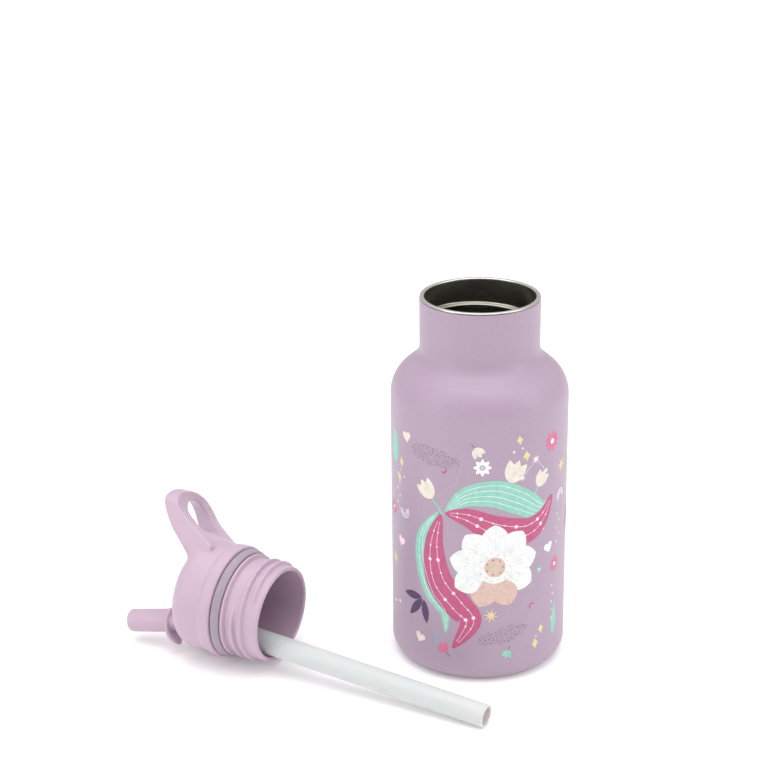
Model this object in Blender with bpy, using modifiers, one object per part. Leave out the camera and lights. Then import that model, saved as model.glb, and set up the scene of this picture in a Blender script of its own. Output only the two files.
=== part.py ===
"""Kids' steel water bottle, standing open, with its straw lid lying beside it.

Units are metres and +Z is up. The origin is the centre of the bottle's base.

The lid is modelled upright in a frame of its own. That frame's origin is the
centre of the face that seats on the bottle's rim, its +Z runs to the top of
the lid and its +X runs to the carry loop. The LID_ pose values then lay the
whole lid on its side on the surface that the bottle stands on.
"""

from math import asin, cos, pi, radians, sin

import bmesh
import bpy
from mathutils import Matrix, Vector

# ---- bottle: driving dimensions --------------------------------------------
BODY_RADIUS = 0.0350
BOTTLE_HEIGHT = 0.1505
NECK_RADIUS = 0.0235
SHOULDER_BASE_Z = 0.1108       # top of the straight body
SHOULDER_SLOPE = radians(49)   # from upright, between the two shoulder arcs
SHOULDER_ARC = 0.0148          # outward curve, body to slope
NECK_ARC = 0.0096              # inward curve, slope to neck
BASE_ARC = 0.0065
STEEL = 0.0005                 # sheet thickness
GAP = 0.0003                   # clearance between pieces that touch

# ---- bottle: inner liner ---------------------------------------------------
LINER_BODY_RADIUS = 0.0320
LINER_NECK_RADIUS = 0.0221
LINER_SHOULDER_Z = 0.1116
LINER_SHOULDER_ARC = 0.0120
LINER_NECK_ARC = 0.0105
LINER_BASE_Z = 0.0052
LINER_BASE_ARC = 0.0060
LIP_HEIGHT = 0.0005            # bare rim rolled over the top of the shell
LIP_RADIUS = NECK_RADIUS - 0.0001

# ---- bottle: base ----------------------------------------------------------
SHELL_END_Z = 0.0006           # the painted shell stops just above the base
FOOT_OUTER_RADIUS = 0.0310
FOOT_INNER_RADIUS = 0.0272
FOOT_CHAMFER = 0.0003
BASE_PLATE_Z = 0.0009
BASE_COLLAR_RADIUS = 0.0300
BASE_COLLAR_TOP = 0.0045
DISC_RADIUS = 0.0255
DISC_THICKNESS = 0.0006
GETTER_RADIUS = 0.0050
GETTER_THICKNESS = 0.0016

# ---- thread shared by the neck and the plug --------------------------------
THREAD_PITCH = 0.0040
THREAD_ROOT_WIDTH = 0.0026
THREAD_CREST_WIDTH = 0.0011
THREAD_FADE = radians(24)      # run-out at each end
THREAD_END = 0.12              # share of the full height left at the very end
THREAD_BITE = 0.0004           # depth of the ridge inside the wall it grows from
NECK_THREAD_CREST = 0.0202
NECK_THREAD_TOP = 0.0078       # below the rim
NECK_THREAD_TURNS = 1.25
NECK_THREAD_START = radians(-60)
PLUG_THREAD_CREST = 0.0209
PLUG_THREAD_LOW = -0.0168
PLUG_THREAD_TURNS = 2.0
PLUG_THREAD_START = radians(-95)

# ---- lid cap ---------------------------------------------------------------
FLANGE_RADIUS = 0.02306
FLANGE_HEIGHT = 0.0047
DOME_WAIST_RADIUS = 0.0223
DOME_RADIUS = 0.0227
DOME_SIDE_TOP = 0.0135
DOME_EDGE_ARC = 0.0070
DOME_TOP = DOME_SIDE_TOP + DOME_EDGE_ARC
DOME_WAIST_Z = FLANGE_HEIGHT + 0.0006
DOME_FULL_Z = 0.0110           # where the side reaches its full radius
CAP_BORE_RADIUS = 0.0206
CAP_BORE_DEPTH = 0.0066

# ---- carry loop, moulded with the cap --------------------------------------
LOOP_HALF_WIDTH = 0.0168
LOOP_SHOULDER_X = 0.0300       # the straight sides end here, in half an ellipse
LOOP_END_X = 0.0383
LOOP_ROOT_X = 0.0110
LOOP_TOP_ROOT_Z = 0.0192       # upper side: a quarter wave from here
LOOP_TOP_RISE = 0.0201
LOOP_LOW_ROOT_X = 0.0185       # lower side leaves the dome here
LOOP_LOW_ROOT_Z = 0.0136
LOOP_LOW_RISE = 0.0201
LOOP_BASE_X = 0.0085           # the loop's solid starts here, inside the dome
HOLE_HALF_WIDTH = 0.0096       # finger hole
HOLE_START_X = 0.0234
HOLE_SHOULDER_X = 0.0270
HOLE_END_X = 0.0348
RIM_TOP_Z = 0.0224             # rim left between the spout's channel and the hole
LOOP_STATIONS = 14
LOOP_FORM_TOP = 0.0600         # taller than the loop, which the side profile trims

# ---- plug ------------------------------------------------------------------
PLUG_RADIUS = 0.0195
PLUG_WALL = 0.0017
PLUG_END_Z = -0.0205
PLUG_COLLAR_RADIUS = 0.0203
PLUG_DECK_TOP = 0.0062
PLUG_DECK_THICKNESS = 0.0024
PLUG_END_CHAMFER = 0.0004
SEAL_SEAT_RADIUS = 0.0199
SEAL_RADIUS = 0.0222
SEAL_HEIGHT = 0.0036
SEAL_CHAMFER = 0.0004
RIDGE_RADIUS = 0.0211
RIDGE_HEIGHT = 0.0011
RIDGE_SLOPE = 0.0007

# ---- flip spout ------------------------------------------------------------
PIVOT_X = -0.0119
PIVOT_Z = 0.0155
HUB_RADIUS = 0.0062
HUB_HALF_WIDTH = 0.0070
SPOUT_LEAN = radians(14.5)     # raised spout leans away from the loop
SPOUT_RADIUS = 0.0049
SPOUT_LENGTH = 0.0319          # pivot to tip
SPOUT_TIP_ARC = 0.0016
SPOUT_BORE = 0.0021
SPOUT_BORE_REACH = 0.0030      # past the tip and the hub, so the cuts run through
TAB_HALF_WIDTH = 0.0058
TAB_THICKNESS = 0.0025
TAB_BEND_X = -0.0020           # centre of the tab's bend, from the pivot
TAB_BEND_Z = 0.0010
TAB_BEND_RADIUS = 0.0118       # to the tab's upper side
TAB_FROM = radians(70)
TAB_TO = radians(154)
TAB_REACH = 0.0140             # pivot to the tab's round end, seen from above
PIN_RADIUS = 0.0015
PIN_BORE = 0.0018
PIN_INNER = 0.0056
PIN_OUTER = 0.0102
CHANNEL_CLEARANCE = 0.0012
CHANNEL_END_X = 0.0207         # just past the folded spout's tip
ABOVE_LID = 0.0450             # cutters that open upwards end here

# ---- small inner pieces ----------------------------------------------------
GASKET_RADIUS = 0.0041
GASKET_BORE = 0.0024
CONNECTOR_RADIUS = 0.0030
CONNECTOR_BORE = 0.0020
CONNECTOR_FLANGE_RADIUS = 0.0046
CONNECTOR_FLANGE = 0.0012
CONNECTOR_END_Z = -0.0060
CONNECTOR_BARB = 0.0003
CONNECTOR_BARB_RUN = 0.0022
DECK_CUT_LOW = 0.0             # cutters through the plug's deck run between these
DECK_CUT_TOP = 0.0100
PORT_CUT_LOW = 0.0040          # cutters through the cap's floor start here
VENT_X = 0.0100
VENT_STEM_RADIUS = 0.0012
VENT_CAP_RADIUS = 0.0034
VENT_CAP_RIM = 0.0006
VENT_CAP_HEIGHT = 0.0016

# ---- straw -----------------------------------------------------------------
STRAW_RADIUS = 0.0045
STRAW_BORE = 0.0036
STRAW_LENGTH = 0.1165
STRAW_TOP_Z = 0.0012
STRAW_DROOP = radians(1.8)     # the soft straw hangs a little below the lid's axis

# ---- where the lid lies ----------------------------------------------------
LID_X = -0.0977
LID_Y = -0.0067
LID_HEADING = radians(-28.7)   # way the plug points, seen from above
LID_DIP = radians(2.4)         # plug end lower than the lid's top
LID_ROLL = radians(32.3)       # loop leans back from upright

# ---- facet counts ----------------------------------------------------------
BODY_STEPS = 40
LID_STEPS = 48
SMALL_STEPS = 24
ARC_STEPS = 4
PIN_STEPS = 16
HUB_STEPS = 32


def clear_scene():
    """Remove every object that a new file starts with."""
    for item in list(bpy.data.objects):
        bpy.data.objects.remove(item, do_unlink=True)


def new_collection(name):
    """Make a collection and link it to the scene."""
    collection = bpy.data.collections.new(name)
    bpy.context.scene.collection.children.link(collection)
    return collection


def new_material(name, colour, roughness, metallic=0.0, transmission=0.0):
    """Make a Principled material."""
    material = bpy.data.materials.new(name)
    material.use_nodes = True
    shader = material.node_tree.nodes["Principled BSDF"]
    shader.inputs["Base Color"].default_value = (*colour, 1.0)
    shader.inputs["Roughness"].default_value = roughness
    shader.inputs["Metallic"].default_value = metallic
    shader.inputs["Transmission Weight"].default_value = transmission
    return material


def add_object(name, mesh, collection, material=None, parent=None):
    """Link a mesh as an object, shade its round faces smooth, and parent it."""
    item = bpy.data.objects.new(name, mesh)
    collection.objects.link(item)
    item.parent = parent
    if material:
        mesh.materials.append(material)
    mesh.shade_smooth()
    mesh.set_sharp_from_angle(angle=radians(35))
    return item


def add_empty(name, collection, matrix, parent=None):
    """Add an empty that carries moving pieces; matrix is in its parent's frame."""
    empty = bpy.data.objects.new(name, None)
    empty.empty_display_size = 0.01
    collection.objects.link(empty)
    empty.parent = parent
    empty.matrix_basis = matrix
    return empty


def arc(centre_r, centre_z, radius, start, end, steps=ARC_STEPS):
    """Points on an arc; angles are from +X, in radians."""
    points = []
    for step in range(steps + 1):
        angle = start + (end - start) * step / steps
        points.append((centre_r + radius * cos(angle), centre_z + radius * sin(angle)))
    return points


def turned(name, profile, steps, collection, material=None, parent=None, closed=True):
    """Turn a profile of (radius, z) points round Z. It runs down its outer side."""
    mesh = bpy.data.meshes.new(name)
    count = len(profile)
    edges = [(index, index + 1) for index in range(count - 1)]
    if closed:
        edges.append((count - 1, 0))
    mesh.from_pydata([(r, 0.0, z) for r, z in profile], edges, [])
    item = add_object(name, mesh, collection, material, parent)
    screw = item.modifiers.new("turn", "SCREW")
    screw.axis = "Z"
    screw.angle = 2 * pi
    screw.steps = steps
    screw.render_steps = steps
    screw.use_merge_vertices = True
    screw.merge_threshold = 0.00001
    screw.use_smooth_shade = True
    return item


def cylinder(name, radius, start, end, steps, collection, material=None, parent=None):
    """A solid cylinder between two points."""
    start = Vector(start)
    end = Vector(end)
    run = end - start
    turn = run.to_track_quat("Z", "Y").to_matrix().to_4x4()
    mesh = bpy.data.meshes.new(name)
    shape = bmesh.new()
    bmesh.ops.create_cone(
        shape, cap_ends=True, segments=steps, radius1=radius, radius2=radius, depth=run.length,
        matrix=Matrix.Translation((start + end) / 2) @ turn)
    shape.to_mesh(mesh)
    shape.free()
    return add_object(name, mesh, collection, material, parent)


def box(name, low, high, collection, material=None, parent=None):
    """A box between two corners."""
    low = Vector(low)
    high = Vector(high)
    size = high - low
    mesh = bpy.data.meshes.new(name)
    shape = bmesh.new()
    bmesh.ops.create_cube(
        shape, size=1.0, matrix=Matrix.Translation((low + high) / 2) @ Matrix.Diagonal((*size, 1.0)))
    shape.to_mesh(mesh)
    shape.free()
    return add_object(name, mesh, collection, material, parent)


def plate(name, outline, depth, matrix, collection, material=None, parent=None):
    """A flat outline in its own XY plane, thickened by depth and placed by matrix."""
    data = bpy.data.curves.new(name, "CURVE")
    data.dimensions = "2D"
    data.fill_mode = "BOTH"
    data.extrude = depth / 2
    spline = data.splines.new("POLY")
    spline.points.add(len(outline) - 1)
    for point, (x, y) in zip(spline.points, outline):
        point.co = (x, y, 0.0, 1.0)
    spline.use_cyclic_u = True
    curve = bpy.data.objects.new(name + "_outline", data)
    collection.objects.link(curve)
    bpy.context.view_layer.update()
    evaluated = curve.evaluated_get(bpy.context.evaluated_depsgraph_get())
    mesh = bpy.data.meshes.new_from_object(evaluated)
    mesh.name = name
    bpy.data.objects.remove(curve, do_unlink=True)
    shape = bmesh.new()
    shape.from_mesh(mesh)
    bmesh.ops.remove_doubles(shape, verts=shape.verts, dist=0.000001)
    bmesh.ops.transform(shape, matrix=matrix, verts=shape.verts)
    bmesh.ops.recalc_face_normals(shape, faces=shape.faces)
    shape.to_mesh(mesh)
    shape.free()
    return add_object(name, mesh, collection, material, parent)


def combine(target, other, operation):
    """Boolean one object with another, which stays as a hidden guide."""
    step = target.modifiers.new(other.name, "BOOLEAN")
    step.operation = operation
    step.solver = "EXACT"
    step.object = other
    other.hide_render = True
    other.display_type = "WIRE"


def thread_ridge(name, wall, crest, low_z, turns, start, collection, parent=None):
    """A right-hand thread ridge on a wall radius, fading out at both ends."""
    outward = 1.0 if crest > wall else -1.0
    steps = round(turns * BODY_STEPS)
    mesh = bpy.data.meshes.new(name)
    shape = bmesh.new()
    rings = []
    for step in range(steps + 1):
        turned_by = 2 * pi * turns * step / steps
        left = min(turned_by, 2 * pi * turns - turned_by)
        height = min(1.0, THREAD_END + (1 - THREAD_END) * left / THREAD_FADE)
        middle = low_z + THREAD_PITCH * turned_by / (2 * pi)
        foot = wall - outward * THREAD_BITE
        top = wall + (crest - wall) * height
        section = [
            (foot, middle - THREAD_ROOT_WIDTH / 2),
            (top, middle - THREAD_CREST_WIDTH / 2),
            (top, middle + THREAD_CREST_WIDTH / 2),
            (foot, middle + THREAD_ROOT_WIDTH / 2),
        ]
        angle = start + turned_by
        rings.append([shape.verts.new((r * cos(angle), r * sin(angle), z)) for r, z in section])
    for ring, after in zip(rings, rings[1:]):
        for corner in range(4):
            beside = (corner + 1) % 4
            shape.faces.new((ring[corner], ring[beside], after[beside], after[corner]))
    shape.faces.new(rings[0][::-1])
    shape.faces.new(rings[-1])
    bmesh.ops.recalc_face_normals(shape, faces=shape.faces)
    shape.to_mesh(mesh)
    shape.free()
    return add_object(name, mesh, collection, None, parent)


# ---- bottle ----------------------------------------------------------------

def shoulder_outline(body, neck, shoulder_z, shoulder_arc, neck_arc):
    """Curve from the neck down to the straight body: arc, slope, arc."""
    spread = 1 - cos(SHOULDER_SLOPE)
    slope_length = ((body - neck) - (shoulder_arc + neck_arc) * spread) / sin(SHOULDER_SLOPE)
    neck_z = (shoulder_z + (shoulder_arc + neck_arc) * sin(SHOULDER_SLOPE)
              + slope_length * cos(SHOULDER_SLOPE))
    inward = arc(neck + neck_arc, neck_z, neck_arc, pi, pi + SHOULDER_SLOPE)
    outward = arc(body - shoulder_arc, shoulder_z, shoulder_arc, SHOULDER_SLOPE, 0.0)
    return inward + outward


def build_outer_shell(parts, material):
    """Powder-coated steel shell, open at the neck and at the foot."""
    top_z = BOTTLE_HEIGHT - LIP_HEIGHT - GAP
    end_angle = -asin((BASE_ARC - SHELL_END_Z) / BASE_ARC)
    foot_r = BODY_RADIUS - BASE_ARC
    outer = [(NECK_RADIUS, top_z)]
    outer += shoulder_outline(BODY_RADIUS, NECK_RADIUS, SHOULDER_BASE_Z, SHOULDER_ARC, NECK_ARC)
    outer += arc(foot_r, BASE_ARC, BASE_ARC, 0.0, end_angle)
    inner = arc(foot_r, BASE_ARC, BASE_ARC - STEEL, end_angle, 0.0)
    inner += shoulder_outline(
        BODY_RADIUS - STEEL, NECK_RADIUS - STEEL, SHOULDER_BASE_Z,
        SHOULDER_ARC - STEEL, NECK_ARC + STEEL)[::-1]
    inner.append((NECK_RADIUS - STEEL, top_z))
    return turned("outer_shell", outer + inner, BODY_STEPS, parts, material)


def build_inner_liner(parts, cutters, material):
    """Bare steel liner: closed at the bottom, with a rolled rim and thread."""
    outer = [
        (LINER_NECK_RADIUS - STEEL, BOTTLE_HEIGHT),
        (LIP_RADIUS, BOTTLE_HEIGHT),
        (LIP_RADIUS, BOTTLE_HEIGHT - LIP_HEIGHT),
        (LINER_NECK_RADIUS, BOTTLE_HEIGHT - LIP_HEIGHT),
    ]
    outer += shoulder_outline(
        LINER_BODY_RADIUS, LINER_NECK_RADIUS, LINER_SHOULDER_Z, LINER_SHOULDER_ARC, LINER_NECK_ARC)
    outer += arc(LINER_BODY_RADIUS - LINER_BASE_ARC, LINER_BASE_Z + LINER_BASE_ARC,
                 LINER_BASE_ARC, 0.0, -pi / 2)
    outer.append((0.0, LINER_BASE_Z))
    inner = [(0.0, LINER_BASE_Z + STEEL)]
    inner += arc(LINER_BODY_RADIUS - LINER_BASE_ARC, LINER_BASE_Z + LINER_BASE_ARC,
                 LINER_BASE_ARC - STEEL, -pi / 2, 0.0)
    inner += shoulder_outline(
        LINER_BODY_RADIUS - STEEL, LINER_NECK_RADIUS - STEEL, LINER_SHOULDER_Z,
        LINER_SHOULDER_ARC - STEEL, LINER_NECK_ARC + STEEL)[::-1]
    liner = turned("inner_liner", outer + inner, BODY_STEPS, parts, material)
    low_z = BOTTLE_HEIGHT - NECK_THREAD_TOP - NECK_THREAD_TURNS * THREAD_PITCH
    ridge = thread_ridge(
        "neck_thread", LINER_NECK_RADIUS - STEEL, NECK_THREAD_CREST, low_z,
        NECK_THREAD_TURNS, NECK_THREAD_START, cutters)
    combine(liner, ridge, "UNION")
    return liner


def build_base(parts, steel, getter_material):
    """Welded base cup, the disc that covers its centre, and the getter above it."""
    plate_top = BASE_PLATE_Z + STEEL
    cup = [
        (0.0, plate_top),
        (BASE_COLLAR_RADIUS - STEEL, plate_top),
        (BASE_COLLAR_RADIUS - STEEL, BASE_COLLAR_TOP),
        (BASE_COLLAR_RADIUS, BASE_COLLAR_TOP),
        (BASE_COLLAR_RADIUS, BASE_PLATE_Z),
        (FOOT_OUTER_RADIUS, FOOT_CHAMFER),
        (FOOT_OUTER_RADIUS - FOOT_CHAMFER, 0.0),
        (FOOT_INNER_RADIUS, 0.0),
        (FOOT_INNER_RADIUS - FOOT_CHAMFER, BASE_PLATE_Z),
        (0.0, BASE_PLATE_Z),
    ]
    turned("base_cup", cup, BODY_STEPS, parts, steel, closed=False)
    cylinder("base_disc", DISC_RADIUS, (0, 0, 0), (0, 0, DISC_THICKNESS), BODY_STEPS, parts, steel)
    getter_low = plate_top + GAP
    cylinder("getter_pellet", GETTER_RADIUS, (0, 0, getter_low), (0, 0, getter_low + GETTER_THICKNESS),
             SMALL_STEPS, parts, getter_material)


# ---- lid cap ---------------------------------------------------------------

def quarter_wave(x, start_x, start_z, rise):
    """Height of a curve that climbs from its start and levels off at the loop's end."""
    share = max(0.0, min(1.0, (x - start_x) / (LOOP_END_X - start_x)))
    return start_z + rise * sin(pi / 2 * share)


def oval_end(shoulder_x, end_x, half, steps):
    """Half an ellipse across the loop, from one side round to the other."""
    angles = [pi * step / steps - pi / 2 for step in range(steps + 1)]
    return [(shoulder_x + (end_x - shoulder_x) * cos(angle), half * sin(angle)) for angle in angles]


def build_carry_loop(cutters, parent):
    """The loop: its outline from above, kept only within its rising side profile."""
    outline = [(LOOP_BASE_X, -LOOP_HALF_WIDTH)]
    outline += oval_end(LOOP_SHOULDER_X, LOOP_END_X, LOOP_HALF_WIDTH, LOOP_STATIONS)
    outline += [(LOOP_BASE_X, LOOP_HALF_WIDTH)]
    form_place = Matrix.Translation((0, 0, LOOP_FORM_TOP / 2))
    loop = plate("carry_loop_form", outline, LOOP_FORM_TOP, form_place, cutters, parent=parent)
    first_x = LOOP_BASE_X - GAP
    last_x = LOOP_END_X + GAP
    stations = [first_x + (last_x - first_x) * step / LOOP_STATIONS for step in range(LOOP_STATIONS + 1)]
    top_side = [(x, quarter_wave(x, LOOP_ROOT_X, LOOP_TOP_ROOT_Z, LOOP_TOP_RISE)) for x in stations]
    low_side = [(x, quarter_wave(x, LOOP_LOW_ROOT_X, LOOP_LOW_ROOT_Z, LOOP_LOW_RISE)) for x in stations]
    side = plate("carry_loop_side", low_side + top_side[::-1], 3 * LOOP_HALF_WIDTH,
                 Matrix.Rotation(pi / 2, 4, "X"), cutters, parent=parent)
    hole_outline = [(HOLE_START_X, -HOLE_HALF_WIDTH)]
    hole_outline += oval_end(HOLE_SHOULDER_X, HOLE_END_X, HOLE_HALF_WIDTH, LOOP_STATIONS - 2)
    hole_outline += [(HOLE_START_X, HOLE_HALF_WIDTH)]
    hole_place = form_place @ Matrix.Translation((0, 0, GAP))
    hole = plate("finger_hole", hole_outline, LOOP_FORM_TOP + 4 * GAP, hole_place, cutters, parent=parent)
    combine(loop, side, "INTERSECT")
    combine(loop, hole, "DIFFERENCE")
    return loop


def build_lid_cap(parts, cutters, material, parent):
    """Domed cap with its loop, the spout's channel and pocket, and its ports."""
    edge = arc(DOME_RADIUS - DOME_EDGE_ARC, DOME_SIDE_TOP, DOME_EDGE_ARC, pi / 2, 0.0, 6)
    profile = [(0.0, DOME_TOP)] + edge + [
        (DOME_RADIUS, DOME_FULL_Z),
        (DOME_WAIST_RADIUS, DOME_WAIST_Z),
        (FLANGE_RADIUS, FLANGE_HEIGHT),
        (FLANGE_RADIUS, 0.0),
        (CAP_BORE_RADIUS, 0.0),
        (CAP_BORE_RADIUS, CAP_BORE_DEPTH),
        (0.0, CAP_BORE_DEPTH),
    ]
    cap = turned("lid_cap", profile, LID_STEPS, parts, material, parent, closed=False)
    combine(cap, build_carry_loop(cutters, parent), "UNION")
    slot = SPOUT_RADIUS + CHANNEL_CLEARANCE
    channel = box("spout_channel", (PIVOT_X, -slot, PIVOT_Z - slot),
                  (CHANNEL_END_X, slot, ABOVE_LID), cutters, parent=parent)
    combine(cap, channel, "DIFFERENCE")
    above_rim = box("above_rim", (CHANNEL_END_X - GAP, -slot, RIM_TOP_Z),
                    (HOLE_START_X + GAP, slot, ABOVE_LID), cutters, parent=parent)
    combine(cap, above_rim, "DIFFERENCE")
    pocket_radius = HUB_RADIUS + GAP
    pocket_half = HUB_HALF_WIDTH + GAP
    pocket = cylinder("hub_pocket", pocket_radius, (PIVOT_X, -pocket_half, PIVOT_Z),
                      (PIVOT_X, pocket_half, PIVOT_Z), SMALL_STEPS, cutters, parent=parent)
    combine(cap, pocket, "DIFFERENCE")
    mouth = box("pocket_mouth", (PIVOT_X - pocket_radius, -pocket_half, PIVOT_Z),
                (PIVOT_X + pocket_radius, pocket_half, ABOVE_LID), cutters, parent=parent)
    combine(cap, mouth, "DIFFERENCE")
    port = cylinder("spout_port", GASKET_RADIUS + GAP, (PIVOT_X, 0, PORT_CUT_LOW), (PIVOT_X, 0, PIVOT_Z),
                    SMALL_STEPS, cutters, parent=parent)
    combine(cap, port, "DIFFERENCE")
    pin_bore = cylinder("pin_bore", PIN_BORE, (PIVOT_X, -PIN_OUTER - GAP, PIVOT_Z),
                        (PIVOT_X, PIN_OUTER + GAP, PIVOT_Z), PIN_STEPS, cutters, parent=parent)
    combine(cap, pin_bore, "DIFFERENCE")
    vent = cylinder("vent_passage", VENT_STEM_RADIUS + GAP, (VENT_X, 0, PORT_CUT_LOW),
                    (VENT_X, 0, PIVOT_Z), PIN_STEPS, cutters, parent=parent)
    combine(cap, vent, "DIFFERENCE")
    return cap


# ---- plug and what it holds ------------------------------------------------

def build_threaded_plug(parts, cutters, material, parent):
    """Hollow plug: collar inside the cap, seal seat, ridge, thread and open end."""
    bore = PLUG_RADIUS - PLUG_WALL
    ridge_top = -SEAL_HEIGHT - 2 * GAP
    deck_low = PLUG_DECK_TOP - PLUG_DECK_THICKNESS
    profile = [
        (0.0, PLUG_DECK_TOP),
        (PLUG_COLLAR_RADIUS, PLUG_DECK_TOP),
        (PLUG_COLLAR_RADIUS, 0.0),
        (SEAL_SEAT_RADIUS, -GAP),
        (SEAL_SEAT_RADIUS, ridge_top),
        (RIDGE_RADIUS, ridge_top),
        (RIDGE_RADIUS, ridge_top - RIDGE_HEIGHT),
        (PLUG_RADIUS, ridge_top - RIDGE_HEIGHT - RIDGE_SLOPE),
        (PLUG_RADIUS, PLUG_END_Z + PLUG_END_CHAMFER),
        (PLUG_RADIUS - PLUG_END_CHAMFER, PLUG_END_Z),
        (bore, PLUG_END_Z),
        (bore, deck_low),
        (0.0, deck_low),
    ]
    plug = turned("threaded_plug", profile, LID_STEPS, parts, material, parent, closed=False)
    ridge = thread_ridge("plug_thread", PLUG_RADIUS, PLUG_THREAD_CREST, PLUG_THREAD_LOW,
                         PLUG_THREAD_TURNS, PLUG_THREAD_START, cutters, parent)
    combine(plug, ridge, "UNION")
    seat = cylinder("connector_seat", CONNECTOR_FLANGE_RADIUS + GAP,
                    (PIVOT_X, 0, PLUG_DECK_TOP - CONNECTOR_FLANGE - GAP), (PIVOT_X, 0, DECK_CUT_TOP),
                    SMALL_STEPS, cutters, parent=parent)
    combine(plug, seat, "DIFFERENCE")
    hole = cylinder("connector_hole", CONNECTOR_RADIUS + GAP, (PIVOT_X, 0, DECK_CUT_LOW),
                    (PIVOT_X, 0, DECK_CUT_TOP), SMALL_STEPS, cutters, parent=parent)
    combine(plug, hole, "DIFFERENCE")
    vent = cylinder("vent_hole", VENT_STEM_RADIUS + GAP, (VENT_X, 0, DECK_CUT_LOW),
                    (VENT_X, 0, DECK_CUT_TOP), PIN_STEPS, cutters, parent=parent)
    combine(plug, vent, "DIFFERENCE")
    return plug


def build_seal_ring(parts, material, parent):
    """Silicone ring that seals against the bottle's rim."""
    high = -GAP
    low = high - SEAL_HEIGHT
    inner = SEAL_SEAT_RADIUS + GAP
    profile = [
        (inner, high),
        (SEAL_RADIUS - SEAL_CHAMFER, high),
        (SEAL_RADIUS, high - SEAL_CHAMFER),
        (SEAL_RADIUS, (high + low) / 2),
        (SEAL_RADIUS - 2 * SEAL_CHAMFER, low),
        (inner, low),
    ]
    return turned("seal_ring", profile, LID_STEPS, parts, material, parent)


def build_gasket(parts, cutters, material, parent):
    """Silicone gasket that the spout's hub rubs on, hollowed to the hub's curve."""
    low_z = PLUG_DECK_TOP + GAP
    gasket = turned(
        "spout_gasket",
        [(GASKET_BORE, PIVOT_Z), (GASKET_RADIUS, PIVOT_Z), (GASKET_RADIUS, low_z), (GASKET_BORE, low_z)],
        SMALL_STEPS, parts, material, parent)
    gasket.matrix_basis = Matrix.Translation((PIVOT_X, 0, 0))
    hollow = cylinder("hub_sweep", HUB_RADIUS + GAP, (PIVOT_X, -PIN_OUTER, PIVOT_Z),
                      (PIVOT_X, PIN_OUTER, PIVOT_Z), HUB_STEPS, cutters, parent=parent)
    combine(gasket, hollow, "DIFFERENCE")
    return gasket


def build_connector(parts, material, parent):
    """Barbed nipple that the straw pushes onto, held under the gasket."""
    top = PLUG_DECK_TOP - GAP / 3
    flange_low = top - CONNECTOR_FLANGE
    barb_z = CONNECTOR_END_Z + CONNECTOR_BARB_RUN
    profile = [
        (CONNECTOR_BORE, top),
        (CONNECTOR_FLANGE_RADIUS, top),
        (CONNECTOR_FLANGE_RADIUS, flange_low),
        (CONNECTOR_RADIUS, flange_low),
        (CONNECTOR_RADIUS, barb_z + CONNECTOR_BARB),
        (CONNECTOR_RADIUS + CONNECTOR_BARB, barb_z),
        (CONNECTOR_RADIUS - CONNECTOR_BARB, CONNECTOR_END_Z),
        (CONNECTOR_BORE, CONNECTOR_END_Z),
    ]
    connector = turned("straw_connector", profile, SMALL_STEPS, parts, material, parent)
    connector.matrix_basis = Matrix.Translation((PIVOT_X, 0, 0))
    return connector


def build_vent_valve(parts, material, parent):
    """Silicone mushroom valve that lets air in as the child drinks."""
    cap_top = PLUG_DECK_TOP - PLUG_DECK_THICKNESS - GAP
    profile = [
        (0.0, PLUG_DECK_TOP),
        (VENT_STEM_RADIUS, PLUG_DECK_TOP),
        (VENT_STEM_RADIUS, cap_top),
        (VENT_CAP_RADIUS, cap_top),
        (VENT_CAP_RADIUS - VENT_CAP_RIM, cap_top - VENT_CAP_HEIGHT + VENT_CAP_RIM),
        (0.0, cap_top - VENT_CAP_HEIGHT),
    ]
    valve = turned("vent_valve", profile, SMALL_STEPS, parts, material, parent, closed=False)
    valve.matrix_basis = Matrix.Translation((VENT_X, 0, 0))
    return valve


# ---- flip spout ------------------------------------------------------------

def build_flip_spout(parts, cutters, material, pivot):
    """Hub, drinking tube and thumb tab in one moulding; its origin is the pivot."""
    lean = Matrix.Rotation(-SPOUT_LEAN, 4, "Y")
    hub = cylinder("flip_spout", HUB_RADIUS, (0, -HUB_HALF_WIDTH, 0), (0, HUB_HALF_WIDTH, 0), HUB_STEPS,
                   parts, material, pivot)
    tip = arc(SPOUT_RADIUS - SPOUT_TIP_ARC, SPOUT_LENGTH - SPOUT_TIP_ARC, SPOUT_TIP_ARC, pi / 2, 0.0)
    tube_profile = [(0.0, SPOUT_LENGTH)] + tip + [(SPOUT_RADIUS, 0.0), (0.0, 0.0)]
    tube = turned("spout_tube", tube_profile, HUB_STEPS, cutters, parent=pivot, closed=False)
    tube.matrix_basis = lean
    combine(hub, tube, "UNION")
    combine(hub, build_thumb_tab(cutters, pivot), "UNION")
    bore = cylinder("spout_bore", SPOUT_BORE, (0, 0, 0), (0, 0, SPOUT_LENGTH + SPOUT_BORE_REACH),
                    SMALL_STEPS, cutters, parent=pivot)
    bore.matrix_basis = lean
    combine(hub, bore, "DIFFERENCE")
    inlet = cylinder("spout_inlet", SPOUT_BORE, (0, 0, SPOUT_BORE / 2),
                     (0, 0, -HUB_RADIUS - SPOUT_BORE_REACH), SMALL_STEPS, cutters, parent=pivot)
    combine(hub, inlet, "DIFFERENCE")
    for side, label in ((-1, "left"), (1, "right")):
        socket = cylinder("pin_socket_" + label, PIN_BORE, (0, side * (PIN_INNER - GAP), 0),
                          (0, side * PIN_OUTER, 0), PIN_STEPS, cutters, parent=pivot)
        combine(hub, socket, "DIFFERENCE")
    return hub


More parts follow.
